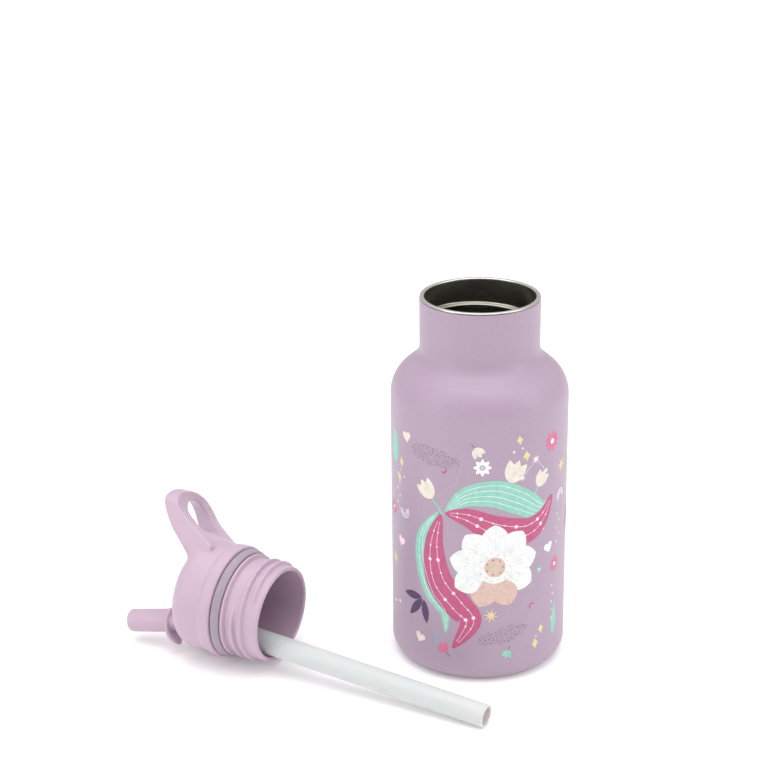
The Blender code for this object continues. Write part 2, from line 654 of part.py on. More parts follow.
def build_thumb_tab(cutters, pivot):
    """Curved tab: its outline from above, kept only within its bent side profile."""
    outline = arc(TAB_HALF_WIDTH - TAB_REACH, 0.0, TAB_HALF_WIDTH, pi / 2, 3 * pi / 2, 2 * ARC_STEPS)
    outline += [(TAB_HALF_WIDTH / 2, -TAB_HALF_WIDTH), (TAB_HALF_WIDTH / 2, TAB_HALF_WIDTH)]
    tab = plate("thumb_tab_form", outline, 2 * TAB_REACH, Matrix.Translation((0, 0, TAB_REACH)), cutters,
                parent=pivot)
    bend_steps = 2 * ARC_STEPS
    top_side = arc(TAB_BEND_X, TAB_BEND_Z, TAB_BEND_RADIUS, TAB_FROM, TAB_TO, bend_steps)
    low_side = arc(TAB_BEND_X, TAB_BEND_Z, TAB_BEND_RADIUS - TAB_THICKNESS, TAB_TO, TAB_FROM, bend_steps)
    side = plate("thumb_tab_side", top_side + low_side, 3 * TAB_HALF_WIDTH,
                 Matrix.Rotation(pi / 2, 4, "X"), cutters, parent=pivot)
    combine(tab, side, "INTERSECT")
    return tab


def build_pivot_pins(parts, material, pivot):
    """Steel pins that the spout turns on, one each side."""
    for side, label in ((-1, "left"), (1, "right")):
        cylinder("pivot_pin_" + label, PIN_RADIUS, (PIVOT_X, side * PIN_INNER, PIVOT_Z),
                 (PIVOT_X, side * PIN_OUTER, PIVOT_Z), PIN_STEPS, parts, material, pivot)


def build_straw(parts, material, mount):
    """Soft straight straw, pushed onto the connector."""
    profile = [
        (STRAW_BORE, STRAW_TOP_Z),
        (STRAW_RADIUS, STRAW_TOP_Z),
        (STRAW_RADIUS, STRAW_TOP_Z - STRAW_LENGTH),
        (STRAW_BORE, STRAW_TOP_Z - STRAW_LENGTH),
    ]
    return turned("straw", profile, SMALL_STEPS, parts, material, mount)


# ---- assembly --------------------------------------------------------------

def lid_pose():
    """Matrix that lays the upright lid on its side, resting on its flange."""
    height = FLANGE_RADIUS * cos(LID_DIP)
    heading = Matrix.Rotation(LID_HEADING, 4, "Z")
    tip_over = Matrix.Rotation(-(pi / 2 - LID_DIP), 4, "Y")
    roll = Matrix.Rotation(LID_ROLL, 4, "Z")
    return Matrix.Translation((LID_X, LID_Y, height)) @ heading @ tip_over @ roll


def straw_mount_pose():
    """Straw's frame in the lid's: on the connector, drooping towards the floor."""
    down = Vector((-cos(LID_ROLL), sin(LID_ROLL), 0.0))
    hinge = Vector((0, 0, -1)).cross(down)
    return Matrix.Translation((PIVOT_X, 0, 0)) @ Matrix.Rotation(STRAW_DROOP, 4, hinge)


def build_all():
    """Build the bottle, then the lid on its empties."""
    clear_scene()
    parts = new_collection("kids_water_bottle")
    cutters = new_collection("cutters")
    coat = new_material("lilac_powder_coat", (0.60, 0.44, 0.62), 0.5)
    steel = new_material("bare_steel", (0.62, 0.61, 0.58), 0.22, metallic=1.0)
    pellet = new_material("getter_alloy", (0.25, 0.25, 0.26), 0.7, metallic=0.6)
    plastic = new_material("pink_lilac_plastic", (0.76, 0.52, 0.72), 0.42)
    grey_silicone = new_material("grey_silicone", (0.47, 0.43, 0.48), 0.5)
    clear_silicone = new_material("clear_silicone", (0.80, 0.80, 0.80), 0.4, transmission=0.4)
    straw_plastic = new_material("frosted_straw", (0.86, 0.86, 0.86), 0.35, transmission=0.5)

    build_outer_shell(parts, coat)
    build_inner_liner(parts, cutters, steel)
    build_base(parts, steel, pellet)

    lid = add_empty("lid_axis", parts, lid_pose())
    build_seal_ring(parts, grey_silicone, lid)
    build_lid_cap(parts, cutters, plastic, lid)
    build_threaded_plug(parts, cutters, plastic, lid)
    build_gasket(parts, cutters, clear_silicone, lid)
    build_connector(parts, clear_silicone, lid)
    build_vent_valve(parts, clear_silicone, lid)
    build_pivot_pins(parts, steel, lid)

    pivot = add_empty("spout_pivot", parts, Matrix.Translation((PIVOT_X, 0, PIVOT_Z)), lid)
    build_flip_spout(parts, cutters, plastic, pivot)

    straw_mount = add_empty("straw_mount", parts, straw_mount_pose(), lid)
    build_straw(parts, straw_plastic, straw_mount)


build_all()
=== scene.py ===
"""Looks of the kids' water bottle: fine meshes, materials, the print, floor, light and camera.

Units are metres. The origin is the centre of the bottle's base. The lid's pieces are
made upright in the lid's own frame, whose origin is the centre of the face that seats
on the rim, +Z to the lid's top and +X to the carry loop, and are then laid down.
The print is drawn in millimetres and degrees on the bottle's round body.
"""

from math import asin, atan2, ceil, copysign, cos, degrees, hypot, pi, radians, sin, tan

import bmesh
import bpy
import numpy as np
from mathutils import Matrix, Vector


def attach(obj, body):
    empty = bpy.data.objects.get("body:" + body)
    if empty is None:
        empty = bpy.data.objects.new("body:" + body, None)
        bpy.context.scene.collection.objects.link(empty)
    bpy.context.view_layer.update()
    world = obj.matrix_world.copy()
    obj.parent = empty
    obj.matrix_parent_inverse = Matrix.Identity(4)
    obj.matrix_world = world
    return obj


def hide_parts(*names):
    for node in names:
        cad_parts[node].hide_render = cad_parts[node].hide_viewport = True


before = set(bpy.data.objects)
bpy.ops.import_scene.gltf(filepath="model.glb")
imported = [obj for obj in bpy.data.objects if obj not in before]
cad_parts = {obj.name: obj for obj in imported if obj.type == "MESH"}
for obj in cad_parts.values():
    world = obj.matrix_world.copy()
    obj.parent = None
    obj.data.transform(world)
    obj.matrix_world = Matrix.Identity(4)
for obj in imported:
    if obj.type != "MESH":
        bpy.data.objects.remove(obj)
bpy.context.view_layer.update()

# ---- bottle ----
BODY_RADIUS = 0.035
BOTTLE_HEIGHT = 0.1505
NECK_RADIUS = 0.0235
SHOULDER_BASE_Z = 0.1108
SHOULDER_SLOPE = radians(49)
SHOULDER_ARC = 0.0148
NECK_ARC = 0.007
BASE_ARC = 0.0065
SHELL_END_Z = 0.0006
STEEL = 0.0005
LINER_BODY_RADIUS = 0.032
LINER_NECK_RADIUS = 0.0221
LINER_SHOULDER_Z = 0.1116
LINER_SHOULDER_ARC = 0.012
LINER_NECK_ARC = 0.0105
LINER_BASE_Z = 0.0052
LINER_BASE_ARC = 0.006
LIP_OVERHANG = 0.0001
LIP_ROUND = 0.0005
SHELL_TOP_Z = BOTTLE_HEIGHT - 0.0008
# how far below the rim the painted shade inside the liner begins
INSIDE_SHADE_BELOW = 0.0012

# ---- base ----
FOOT_OUTER_RADIUS = 0.031
FOOT_INNER_RADIUS = 0.0272
FOOT_ROUND = 0.0003
BASE_PLATE_Z = 0.0009
BASE_COLLAR_RADIUS = 0.03
BASE_COLLAR_TOP = 0.0045
DISC_RADIUS = 0.0255
DISC_THICKNESS = 0.0006
GETTER_RADIUS = 0.005
GETTER_LOW = 0.0017
GETTER_THICKNESS = 0.0016

# ---- thread ----
THREAD_PITCH = 0.004
THREAD_ROOT_WIDTH = 0.0027
THREAD_CREST_WIDTH = 0.0009
THREAD_FADE = radians(26)
ON_WALL = 0.00002
NECK_THREAD_HEIGHT = -0.0014
NECK_THREAD_TURNS = 1.25
NECK_THREAD_LOW = BOTTLE_HEIGHT - 0.0078 - NECK_THREAD_TURNS * THREAD_PITCH
NECK_THREAD_START = radians(-60)
PLUG_THREAD_HEIGHT = 0.0014
PLUG_THREAD_LOW = -0.0168
PLUG_THREAD_TURNS = 2.0
PLUG_THREAD_START = radians(-95)

# ---- lid ----
FLANGE_RADIUS = 0.02306
FLANGE_HEIGHT = 0.0047
DOME_WAIST_RADIUS = 0.0223
DOME_RADIUS = 0.0227
DOME_FULL_Z = 0.011
DOME_TOP = 0.0205
DOME_EDGE_ARC = 0.007
CAP_BORE_RADIUS = 0.0206
CAP_BORE_DEPTH = 0.0066
LOOP_HALF_WIDTH = 0.0168
LOOP_SHOULDER_X = 0.03
LOOP_END_X = 0.0383
LOOP_ROOT_X = 0.011
LOOP_TOP_ROOT_Z = 0.0192
LOOP_TOP_RISE = 0.0201
LOOP_LOW_ROOT_X = 0.0185
LOOP_LOW_ROOT_Z = 0.0136
LOOP_LOW_RISE = 0.0201
LOOP_BASE_X = 0.0085
LOOP_FORM_TOP = 0.06
HOLE_HALF_WIDTH = 0.0096
HOLE_START_X = 0.0234
HOLE_SHOULDER_X = 0.027
HOLE_END_X = 0.0348
RIM_TOP_Z = 0.0224
CUT_LOW = 0.004
CUT_TOP = 0.045
ROOT_X = 0.0165
ROOT_Z = 0.02
ROOT_SIDE = 0.004
ROOT_REACH = 0.0085
WEB_DROP = 0.0036
WEB_FROM = 0.019
WEB_TO = 0.031
PLUG_RADIUS = 0.0195
PLUG_WALL = 0.0017
PLUG_END_Z = -0.0205
PLUG_COLLAR_RADIUS = 0.0203
PLUG_DECK_TOP = 0.0062
PLUG_DECK_THICKNESS = 0.0024
SEAL_SEAT_RADIUS = 0.0199
SEAL_RADIUS = 0.0222
SEAL_HEIGHT = 0.0036
RIDGE_RADIUS = 0.0211
RIDGE_HEIGHT = 0.0011
GAP = 0.0003

# ---- spout, straw and small pieces ----
PIVOT_X = -0.0119
PIVOT_Z = 0.0155
HUB_RADIUS = 0.0062
HUB_HALF_WIDTH = 0.007
SPOUT_LEAN = radians(14.5)
SPOUT_RADIUS = 0.0049
SPOUT_LENGTH = 0.0319
SPOUT_TIP_ARC = 0.0016
SPOUT_BORE = 0.0021
TAB_HALF_WIDTH = 0.0058
TAB_THICKNESS = 0.0025
TAB_BEND_X = -0.002
TAB_BEND_Z = 0.001
TAB_BEND_RADIUS = 0.0118
TAB_FROM = radians(70)
TAB_TO = radians(154)
TAB_ROUNDNESS = 0.6
CHANNEL_HALF = SPOUT_RADIUS + 0.0012
CHANNEL_END_X = 0.0207
PIN_RADIUS = 0.0015
PIN_BORE = 0.0018
PIN_INNER = 0.0056
PIN_OUTER = 0.0102
GASKET_RADIUS = 0.0041
GASKET_BORE = 0.0024
CONNECTOR_RADIUS = 0.003
CONNECTOR_BORE = 0.002
CONNECTOR_FLANGE_RADIUS = 0.0046
CONNECTOR_FLANGE = 0.0012
CONNECTOR_END_Z = -0.006
CONNECTOR_BARB = 0.0003
VENT_X = 0.01
VENT_STEM_RADIUS = 0.0012
VENT_CAP_RADIUS = 0.0034
STRAW_RADIUS = 0.0045
STRAW_BORE = 0.0036
STRAW_LENGTH = 0.1165
STRAW_TOP_Z = 0.0012
STRAW_DROOP = radians(1.8)

# ---- where the lid lies ----
LID_X = -0.0977
LID_Y = -0.0067
LID_HEADING = radians(-28.7)
LID_DIP = radians(2.4)
LID_ROLL = radians(32.3)

# ---- colours, and how far and which way the noise is drawn out ----
LILAC = (0.392, 0.289, 0.385)
LID_PINK = (0.5, 0.368, 0.462)
STEEL_COLOUR = (0.6, 0.59, 0.555)
# painted shade: the colour of the liner's inside, standing in for the shade deep in the bottle
LINER_PAINTED_SHADE = (0.34, 0.33, 0.29)
SILICONE_GREY = (0.4, 0.33, 0.39)
MILKY = (0.8, 0.79, 0.8)
STRAW_COLOUR = (0.75, 0.75, 0.75)
GETTER_GREY = (0.25, 0.25, 0.26)
EVEN = (1.0, 1.0, 1.0)
ALONG_Z = (1.0, 1.0, 50.0)
ROUND_Z = (50.0, 50.0, 1.0)
UPRIGHT = (0.0, 0.0, 0.0)

# ---- mesh quality ----
BODY_STEPS = 192
LID_STEPS = 160
SMALL_STEPS = 64
THREAD_STEPS = 288
THREAD_ROW = 0.00022
CAP_VOXEL = 0.00036
SPOUT_VOXEL = 0.00024
SKIN_ANGLE = 180

# ---- print ----
MM = 0.001
INK_LIFT = 0.00005
INK_LAYER = 0.000012
INK_SINK = 0.00004
WRAP_STEP = 1.2
PRINT_SEED = 7
BLOSSOM_PETALS = 9

# ---- camera ----
CAMERA_PLACE = (-0.03746, -0.6604, 0.3638)
CAMERA_PITCH = 0.3613
CAMERA_ROLL = -0.0132
CAMERA_LENS = 84.375
CAMERA_SENSOR = 36.0

# ---- room and lights ----
WHITE = (1.0, 1.0, 1.0, 1.0)
FLOOR_WHITE = (0.93, 0.93, 0.93)
FLOOR_HALF = 3.0
HORIZON_GREY = (0.3, 0.3, 0.3)
ZENITH_AT = 0.95
ROOM_STRENGTH = 1.21
SOFTBOXES = (
    ("overhead", (-0.05, -0.05, 1.0), (-0.04, 0.0, 0.05), 1.1, 0.9, 5.3),
    ("side_left", (-1.0, -0.5, 0.45), (-0.05, 0.0, 0.08), 0.5, 0.9, 2.6),
    ("side_right", (0.9, -0.3, 0.5), (0.0, 0.0, 0.08), 0.4, 0.9, 2.2),
)


# ==== geometry helpers ====

def to_mesh(name, shape):
    """Turn a bmesh into a mesh and free it."""
    mesh = bpy.data.meshes.new(name)
    shape.to_mesh(mesh)
    shape.free()
    return mesh


def add_object(name, mesh, material, smooth_angle=40):
    """Link a mesh as an object with one material, shaded smooth below an angle."""
    item = bpy.data.objects.new(name, mesh)
    bpy.context.scene.collection.objects.link(item)
    if material:
        mesh.materials.append(material)
    shade(item, smooth_angle)
    return item


def shade(item, smooth_angle):
    """Shade an object smooth but for edges sharper than an angle."""
    item.data.shade_smooth()
    item.data.set_sharp_from_angle(angle=radians(smooth_angle))


def arc(centre_x, centre_y, radius, start, end, steps):
    """Points on an arc from one angle to another."""
    angles = np.linspace(start, end, steps + 1)
    return [(centre_x + radius * cos(a), centre_y + radius * sin(a)) for a in angles]


def around(count, shift=0.0):
    """Angles in equal steps round a full turn."""
    return [2 * pi * (step + shift) / count for step in range(count)]


def rounded(corners, steps=8):
    """Replace each (x, y, radius) corner of a closed outline by an arc of that radius."""
    points = []
    count = len(corners)
    for index in range(count):
        x, y, radius = corners[index]
        if radius == 0:
            points.append((x, y))
            continue
        here = Vector((x, y))
        before = (Vector(corners[index - 1][:2]) - here).normalized()
        after = (Vector(corners[(index + 1) % count][:2]) - here).normalized()
        half = before.angle(after) / 2
        centre = here + (before + after).normalized() * (radius / sin(half))
        first = here + before * (radius / tan(half)) - centre
        last = here + after * (radius / tan(half)) - centre
        turn = pi - 2 * half
        if first.x * last.y < first.y * last.x:
            turn = -turn
        start = atan2(first.y, first.x)
        points += arc(centre.x, centre.y, radius, start, start + turn, steps)
    return points


def subdivided(points, longest, wall=None):
    """Split a closed outline's sides, or only those on a wall of one radius, into short ones."""
    dense = []
    for (x, y), (after_x, after_y) in zip(points, points[1:] + points[:1]):
        pieces = max(1, ceil(hypot(after_x - x, after_y - y) / longest))
        if wall and max(abs(x - wall), abs(after_x - wall)) > ON_WALL:
            pieces = 1
        for piece in range(pieces):
            share = piece / pieces
            dense.append((x + (after_x - x) * share, y + (after_y - y) * share))
    return dense


def thread_on(wall, low, turns, begin, height):
    """Lift for revolve: a right-hand thread ridge on the wall of one radius."""
    def lift(angle, radius, z):
        if abs(radius - wall) > ON_WALL:
            return 0.0
        best = 0.0
        for turn in range(ceil(turns) + 1):
            turned_by = (angle - begin) % (2 * pi) + 2 * pi * turn
            left = min(turned_by, 2 * pi * turns - turned_by)
            if left < 0:
                continue
            away = abs(z - low - THREAD_PITCH * turned_by / (2 * pi))
            slope = (THREAD_ROOT_WIDTH / 2 - away) / ((THREAD_ROOT_WIDTH - THREAD_CREST_WIDTH) / 2)
            best = max(best, smooth_step(slope) * smooth_step(left / THREAD_FADE))
        return best * height
    return lift


def smooth_step(value):
    """Ease from 0 to 1."""
    value = max(0.0, min(1.0, value))
    return value * value * (3 - 2 * value)


def ring_faces(sides, first, second):
    """Faces between two rings, given the number of each ring's first point."""
    faces = []
    for side in range(sides):
        after = (side + 1) % sides
        faces.append((first + side, second + side, second + after, first + after))
    return faces


def revolve(name, profile, steps, material, lift=None, smooth_angle=40):
    """Turn a closed profile of (radius, z) points round Z; lift adds to a wall's radius."""
    points = []
    for radius, z in profile:
        for angle in around(steps):
            reach = radius
            if lift:
                reach += lift(angle, radius, z)
            points.append((reach * cos(angle), reach * sin(angle), z))
    faces = []
    for row, (radius, _) in enumerate(profile):
        below = (row + 1) % len(profile)
        if radius or profile[below][0]:
            faces += ring_faces(steps, row * steps, below * steps)
    return add_object(name, skin(name, points, faces), material, smooth_angle)


def skin(name, points, faces):
    """A mesh whose doubled points are welded and whose faces all look outwards."""
    mesh = bpy.data.meshes.new(name)
    mesh.from_pydata(points, [], faces)
    shape = bmesh.new()
    shape.from_mesh(mesh)
    bmesh.ops.remove_doubles(shape, verts=shape.verts, dist=1e-7)
    bmesh.ops.recalc_face_normals(shape, faces=shape.faces)
    shape.to_mesh(mesh)
    shape.free()
    return mesh


def turned(name, corners, steps, material=None, matrix=None, arc_steps=8):
    """A turned piece from its rounded half section, moved by a matrix."""
    item = revolve(name, rounded(corners, arc_steps), steps, material)
    if matrix:
        item.data.transform(matrix)
    return item


def block(low, high):
    """A box between two corners, used as a cutter."""
    low = Vector(low)
    high = Vector(high)
    shape = bmesh.new()
    size = Matrix.Diagonal((*(high - low), 1.0))
    bmesh.ops.create_cube(shape, size=1.0, matrix=Matrix.Translation((low + high) / 2) @ size)
    return add_object("block", to_mesh("block", shape), None)


def drill(radius, start, end, steps=48):
    """A cylinder between two points, used as a cutter."""
    start = Vector(start)
    end = Vector(end)
    run = end - start
    turn = run.to_track_quat("Z", "Y").to_matrix().to_4x4()
    shape = bmesh.new()
    bmesh.ops.create_cone(shape, cap_ends=True, segments=steps, radius1=radius, radius2=radius,
                          depth=run.length, matrix=Matrix.Translation((start + end) / 2) @ turn)
    return add_object("drill", to_mesh("drill", shape), None)


def apply_modifiers(item):
    """Bake an object's modifiers into its mesh."""
    evaluated = item.evaluated_get(bpy.context.evaluated_depsgraph_get())
    mesh = bpy.data.meshes.new_from_object(evaluated)
    item.modifiers.clear()
    item.data = mesh


def cut(item, cutters, operation="DIFFERENCE"):
    """Subtract each cutter, or keep what is inside it, and remove it."""
    for cutter in cutters:
        step = item.modifiers.new("cut", "BOOLEAN")
        step.operation = operation
        step.solver = "EXACT"
        step.object = cutter
        bpy.context.view_layer.update()
        apply_modifiers(item)
        bpy.data.objects.remove(cutter, do_unlink=True)


def fuse(name, items, voxel, material):
    """Join overlapping closed pieces into one skin with a voxel remesh."""
    shape = bmesh.new()
    for item in items:
        shape.from_mesh(item.data)
        bpy.data.objects.remove(item, do_unlink=True)
    fused = add_object(name, to_mesh(name, shape), material)
    remesh(fused, voxel)
    return fused


def remesh(item, voxel):
    """Rebuild the surface from voxels."""
    step = item.modifiers.new("skin", "REMESH")
    step.mode = "VOXEL"
    step.voxel_size = voxel
    bpy.context.view_layer.update()
    apply_modifiers(item)


def relax(item, rounds, weight=None, shrink=True):
    """Average each vertex with its neighbours; without shrink, every other round pushes back."""
    mesh = item.data
    count = len(mesh.vertices)
    places = np.empty(count * 3)
    mesh.vertices.foreach_get("co", places)
    places = places.reshape(-1, 3)
    ends = np.empty(len(mesh.edges) * 2, dtype=np.int64)
    mesh.edges.foreach_get("vertices", ends)
    first, second = ends.reshape(-1, 2).T
    neighbours = np.bincount(ends, minlength=count)[:, None]
    share = np.ones((count, 1)) if weight is None else weight(places)[:, None]
    for step in range(rounds):
        total = np.empty_like(places)
        for axis in range(3):
            total[:, axis] = (np.bincount(first, places[second, axis], count)
                              + np.bincount(second, places[first, axis], count))
        pull = 0.5 if shrink or step % 2 == 0 else -0.52
        places += pull * share * (total / neighbours - places)
    mesh.vertices.foreach_set("co", places.ravel())
    mesh.update()


def place(item, body, node, slot, matrix=None):
    """Put a finished piece in the frame: its pose, its body, the CAD node it stands for."""
    if matrix is not None:
        item.data.transform(matrix)
    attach(item, body)
    if node:
        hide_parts(node)
    return item


# ==== materials ====

def shader_of(material):
    """A material's Principled node."""
    return material.node_tree.nodes["Principled BSDF"]


def principled(name, colour, roughness, metallic=0.0, **extra):
    """A Principled material; extra names other sockets with _ for a space."""
    material = bpy.data.materials.new(name)
    material.use_nodes = True
    inputs = shader_of(material).inputs
    inputs["Base Color"].default_value = (*colour, 1.0)
    inputs["Roughness"].default_value = roughness
    inputs["Metallic"].default_value = metallic
    for socket, value in extra.items():
        inputs[socket.replace("_", " ")].default_value = value
    return material


def add_node(owner, kind, **values):
    """Add a node to a material or world and set its inputs; _ in a name stands for a space."""
    node = owner.node_tree.nodes.new(kind)
    for socket, value in values.items():
        node.inputs[socket.replace("_", " ")].default_value = value
    return node


def noise(material, scale, detail, stretch, turn):
    """Noise in object coordinates, in cycles per metre, drawn out by stretch along turned axes."""
    links = material.node_tree.links
    coordinates = add_node(material, "ShaderNodeTexCoord")
    mapping = add_node(material, "ShaderNodeMapping", Rotation=turn, Scale=stretch)
    mapping.vector_type = "TEXTURE"
    texture = add_node(material, "ShaderNodeTexNoise", Scale=scale, Detail=detail)
    links.new(coordinates.outputs["Object"], mapping.inputs["Vector"])
    links.new(mapping.outputs["Vector"], texture.inputs["Vector"])
    return texture.outputs["Fac"]


def ramp(owner, value, low, high, low_at=0.3, high_at=0.7):
    """Blend two colours by a value."""
    node = add_node(owner, "ShaderNodeValToRGB")
    for element, place_at, colour in zip(node.color_ramp.elements, (low_at, high_at), (low, high)):
        element.position = place_at
        element.color = (*colour, 1.0)
    owner.node_tree.links.new(value, node.inputs["Fac"])
    return node.outputs["Color"]


def mottle(material, colour, spread, scale, stretch, turn):
    """Let the base colour wander a little round its mean."""
    dark = [channel * (1 - spread) for channel in colour]
    light = [min(1.0, channel * (1 + spread)) for channel in colour]
    mixed = ramp(material, noise(material, scale, 4.0, stretch, turn), dark, light)
    material.node_tree.links.new(mixed, shader_of(material).inputs["Base Color"])


def vary_roughness(material, low, high, scale, stretch):
    """Let the roughness wander between two values."""
    value = noise(material, scale, 4.0, stretch, UPRIGHT)
    node = add_node(material, "ShaderNodeMapRange", From_Min=0.3, From_Max=0.7, To_Min=low, To_Max=high)
    material.node_tree.links.new(value, node.inputs["Value"])
    material.node_tree.links.new(node.outputs["Result"], shader_of(material).inputs["Roughness"])


def grain(material, scale, depth, strength, stretch, turn):
    """Fine surface texture as bump."""
    links = material.node_tree.links
    bump = add_node(material, "ShaderNodeBump", Strength=strength, Distance=depth)
    links.new(noise(material, scale, 2.0, stretch, turn), bump.inputs["Height"])
    links.new(bump.outputs["Normal"], shader_of(material).inputs["Normal"])


def surface(material, colour, mottled, grained, rough=None, stretch=EVEN, turn=UPRIGHT):
    """Give a material uneven colour and grain and, if asked, uneven roughness."""
    mottle(material, colour, *mottled, stretch, turn)
    if rough:
        vary_roughness(material, *rough, stretch)
    grain(material, *grained, stretch, turn)
    return material


def powder_coat():
    """Matt lilac powder coat with its fine orange-peel grain."""
    material = principled("powder_coat", LILAC, 0.42, Coat_Weight=0.12, Coat_Roughness=0.38)
    return surface(material, LILAC, (0.025, 900), (2600, 0.00004, 0.3), (0.38, 0.47, 1500))


def bare_steel(name, low, high, depth):
    """Stainless steel with the faint rings of turning and polishing."""
    material = principled(name, STEEL_COLOUR, low, 1.0)
    return surface(material, STEEL_COLOUR, (0.04, 9000), (16000, depth, 0.35), (low, high, 12000), ROUND_Z)


def paint_inside_shade(material, inside, top):
    """Give the liner painted shade: its deep inside is coloured darker, up to just under the rim."""
    links = material.node_tree.links
    coordinates = add_node(material, "ShaderNodeTexCoord")
    split = add_node(material, "ShaderNodeSeparateXYZ")
    rise = add_node(material, "ShaderNodeMapRange", From_Min=top - INSIDE_SHADE_BELOW, From_Max=top - INSIDE_SHADE_BELOW / 2)
    links.new(coordinates.outputs["Object"], split.inputs["Vector"])
    links.new(split.outputs["Z"], rise.inputs["Value"])
    mixed = ramp(material, rise.outputs["Result"], inside, STEEL_COLOUR, 0.0, 1.0)
    links.new(mixed, shader_of(material).inputs["Base Color"])


def lid_plastic():
    """Semi-matt pink-lilac moulded plastic, slightly translucent."""
    material = principled("lid_plastic", LID_PINK, 0.36, Subsurface_Weight=0.18, Subsurface_Scale=0.0016,
                          Subsurface_Radius=(1.0, 0.6, 0.9), Specular_IOR_Level=0.45)
    return surface(material, LID_PINK, (0.015, 260), (4200, 0.00002, 0.22), (0.33, 0.41, 900))


def silicone(name, colour, roughness, through):
    """Soft silicone that lets some light through."""
    material = principled(name, colour, roughness, Transmission_Weight=through,
                          Subsurface_Weight=0.3, Subsurface_Scale=0.002, IOR=1.41)
    return surface(material, colour, (0.04, 700), (3000, 0.00002, 0.2))


def frosted_straw(turn):
    """Translucent frosted plastic with faint extrusion lines along the straw's own axis."""
    material = principled("frosted_straw", STRAW_COLOUR, 0.45, Transmission_Weight=0.25, IOR=1.35,
                          Subsurface_Weight=0.35, Subsurface_Scale=0.004)
    return surface(material, STRAW_COLOUR, (0.012, 1800), (5000, 0.00002, 0.35), None, ALONG_Z, turn)


def getter_alloy():
    """Dull grey pressed metal."""
    material = principled("getter_alloy", GETTER_GREY, 0.7, 0.6)
    return surface(material, GETTER_GREY, (0.15, 2500), (2500, 0.00005, 0.5))


def ink(name, colour):
    """Printed ink, a little uneven where it is laid thin."""
    return surface(principled("ink_" + name, colour, 0.5), colour, (0.09, 520), (2600, 0.00003, 0.25))


COAT = powder_coat()
LINER_STEEL = bare_steel("liner_steel", 0.24, 0.34, 0.000008)
# painted shade on the liner's inside, below the rim
paint_inside_shade(LINER_STEEL, LINER_PAINTED_SHADE, BOTTLE_HEIGHT)
BASE_STEEL = bare_steel("base_steel", 0.24, 0.36, 0.000012)
PLASTIC = lid_plastic()
SEAL_RUBBER = silicone("grey_silicone", SILICONE_GREY, 0.42, 0.15)
CLEAR_RUBBER = silicone("milky_silicone", MILKY, 0.38, 0.35)
GETTER = getter_alloy()


# ==== bottle ====

def shoulder_corners(body, neck, arc_z, shoulder_arc, neck_arc):
    """The two corners, with their radii, of the line that joins neck and body."""
    low_z = arc_z + shoulder_arc * tan(SHOULDER_SLOPE / 2)
    high_z = low_z + (body - neck) / tan(SHOULDER_SLOPE)
    return [(neck, high_z, neck_arc), (body, low_z, shoulder_arc)]


def make_outer_shell():
    """Powder-coated shell from just under the rim to just above the table."""
    end = -asin((BASE_ARC - SHELL_END_Z) / BASE_ARC)
    centre_r = BODY_RADIUS - BASE_ARC
    foot = arc(centre_r, BASE_ARC, BASE_ARC, 0.0, end, 24)
    foot += arc(centre_r, BASE_ARC, BASE_ARC - STEEL, end, 0.0, 24)
    profile = rounded([
        (NECK_RADIUS, SHELL_TOP_Z, STEEL * 0.45),
        *shoulder_corners(BODY_RADIUS, NECK_RADIUS, SHOULDER_BASE_Z, SHOULDER_ARC, NECK_ARC),
        *((r, z, 0) for r, z in foot),
        *shoulder_corners(BODY_RADIUS - STEEL, NECK_RADIUS - STEEL, SHOULDER_BASE_Z,
                          SHOULDER_ARC - STEEL, NECK_ARC + STEEL)[::-1],
        (NECK_RADIUS - STEEL, SHELL_TOP_Z, 0),
    ], 20)
    shell = revolve("shell_coated", profile, BODY_STEPS, COAT, smooth_angle=30)
    place(shell, "bottle", "outer_shell", "lilac_powder_coat")


def make_inner_liner():
    """Bare steel liner with its rolled rim and thread."""
    lip_radius = NECK_RADIUS - LIP_OVERHANG
    inner_neck = LINER_NECK_RADIUS - STEEL
    corners = [
        (inner_neck, BOTTLE_HEIGHT, LIP_ROUND),
        (lip_radius, BOTTLE_HEIGHT, LIP_ROUND),
        (lip_radius, SHELL_TOP_Z + GAP, 0),
        (LINER_NECK_RADIUS, SHELL_TOP_Z + GAP, 0),
        *shoulder_corners(LINER_BODY_RADIUS, LINER_NECK_RADIUS, LINER_SHOULDER_Z,
                          LINER_SHOULDER_ARC, LINER_NECK_ARC),
        (LINER_BODY_RADIUS, LINER_BASE_Z, LINER_BASE_ARC),
        (0.0, LINER_BASE_Z, 0),
        (0.0, LINER_BASE_Z + STEEL, 0),
        (LINER_BODY_RADIUS - STEEL, LINER_BASE_Z + STEEL, LINER_BASE_ARC - STEEL),
        *shoulder_corners(LINER_BODY_RADIUS - STEEL, inner_neck, LINER_SHOULDER_Z,
                          LINER_SHOULDER_ARC - STEEL, LINER_NECK_ARC + STEEL)[::-1],
    ]
    profile = subdivided(rounded(corners, 16), THREAD_ROW, inner_neck)
    thread = thread_on(inner_neck, NECK_THREAD_LOW, NECK_THREAD_TURNS, NECK_THREAD_START, NECK_THREAD_HEIGHT)
    liner = revolve("liner_steel", profile, THREAD_STEPS, LINER_STEEL, thread, 50)
    place(liner, "bottle", "inner_liner", "bare_steel")


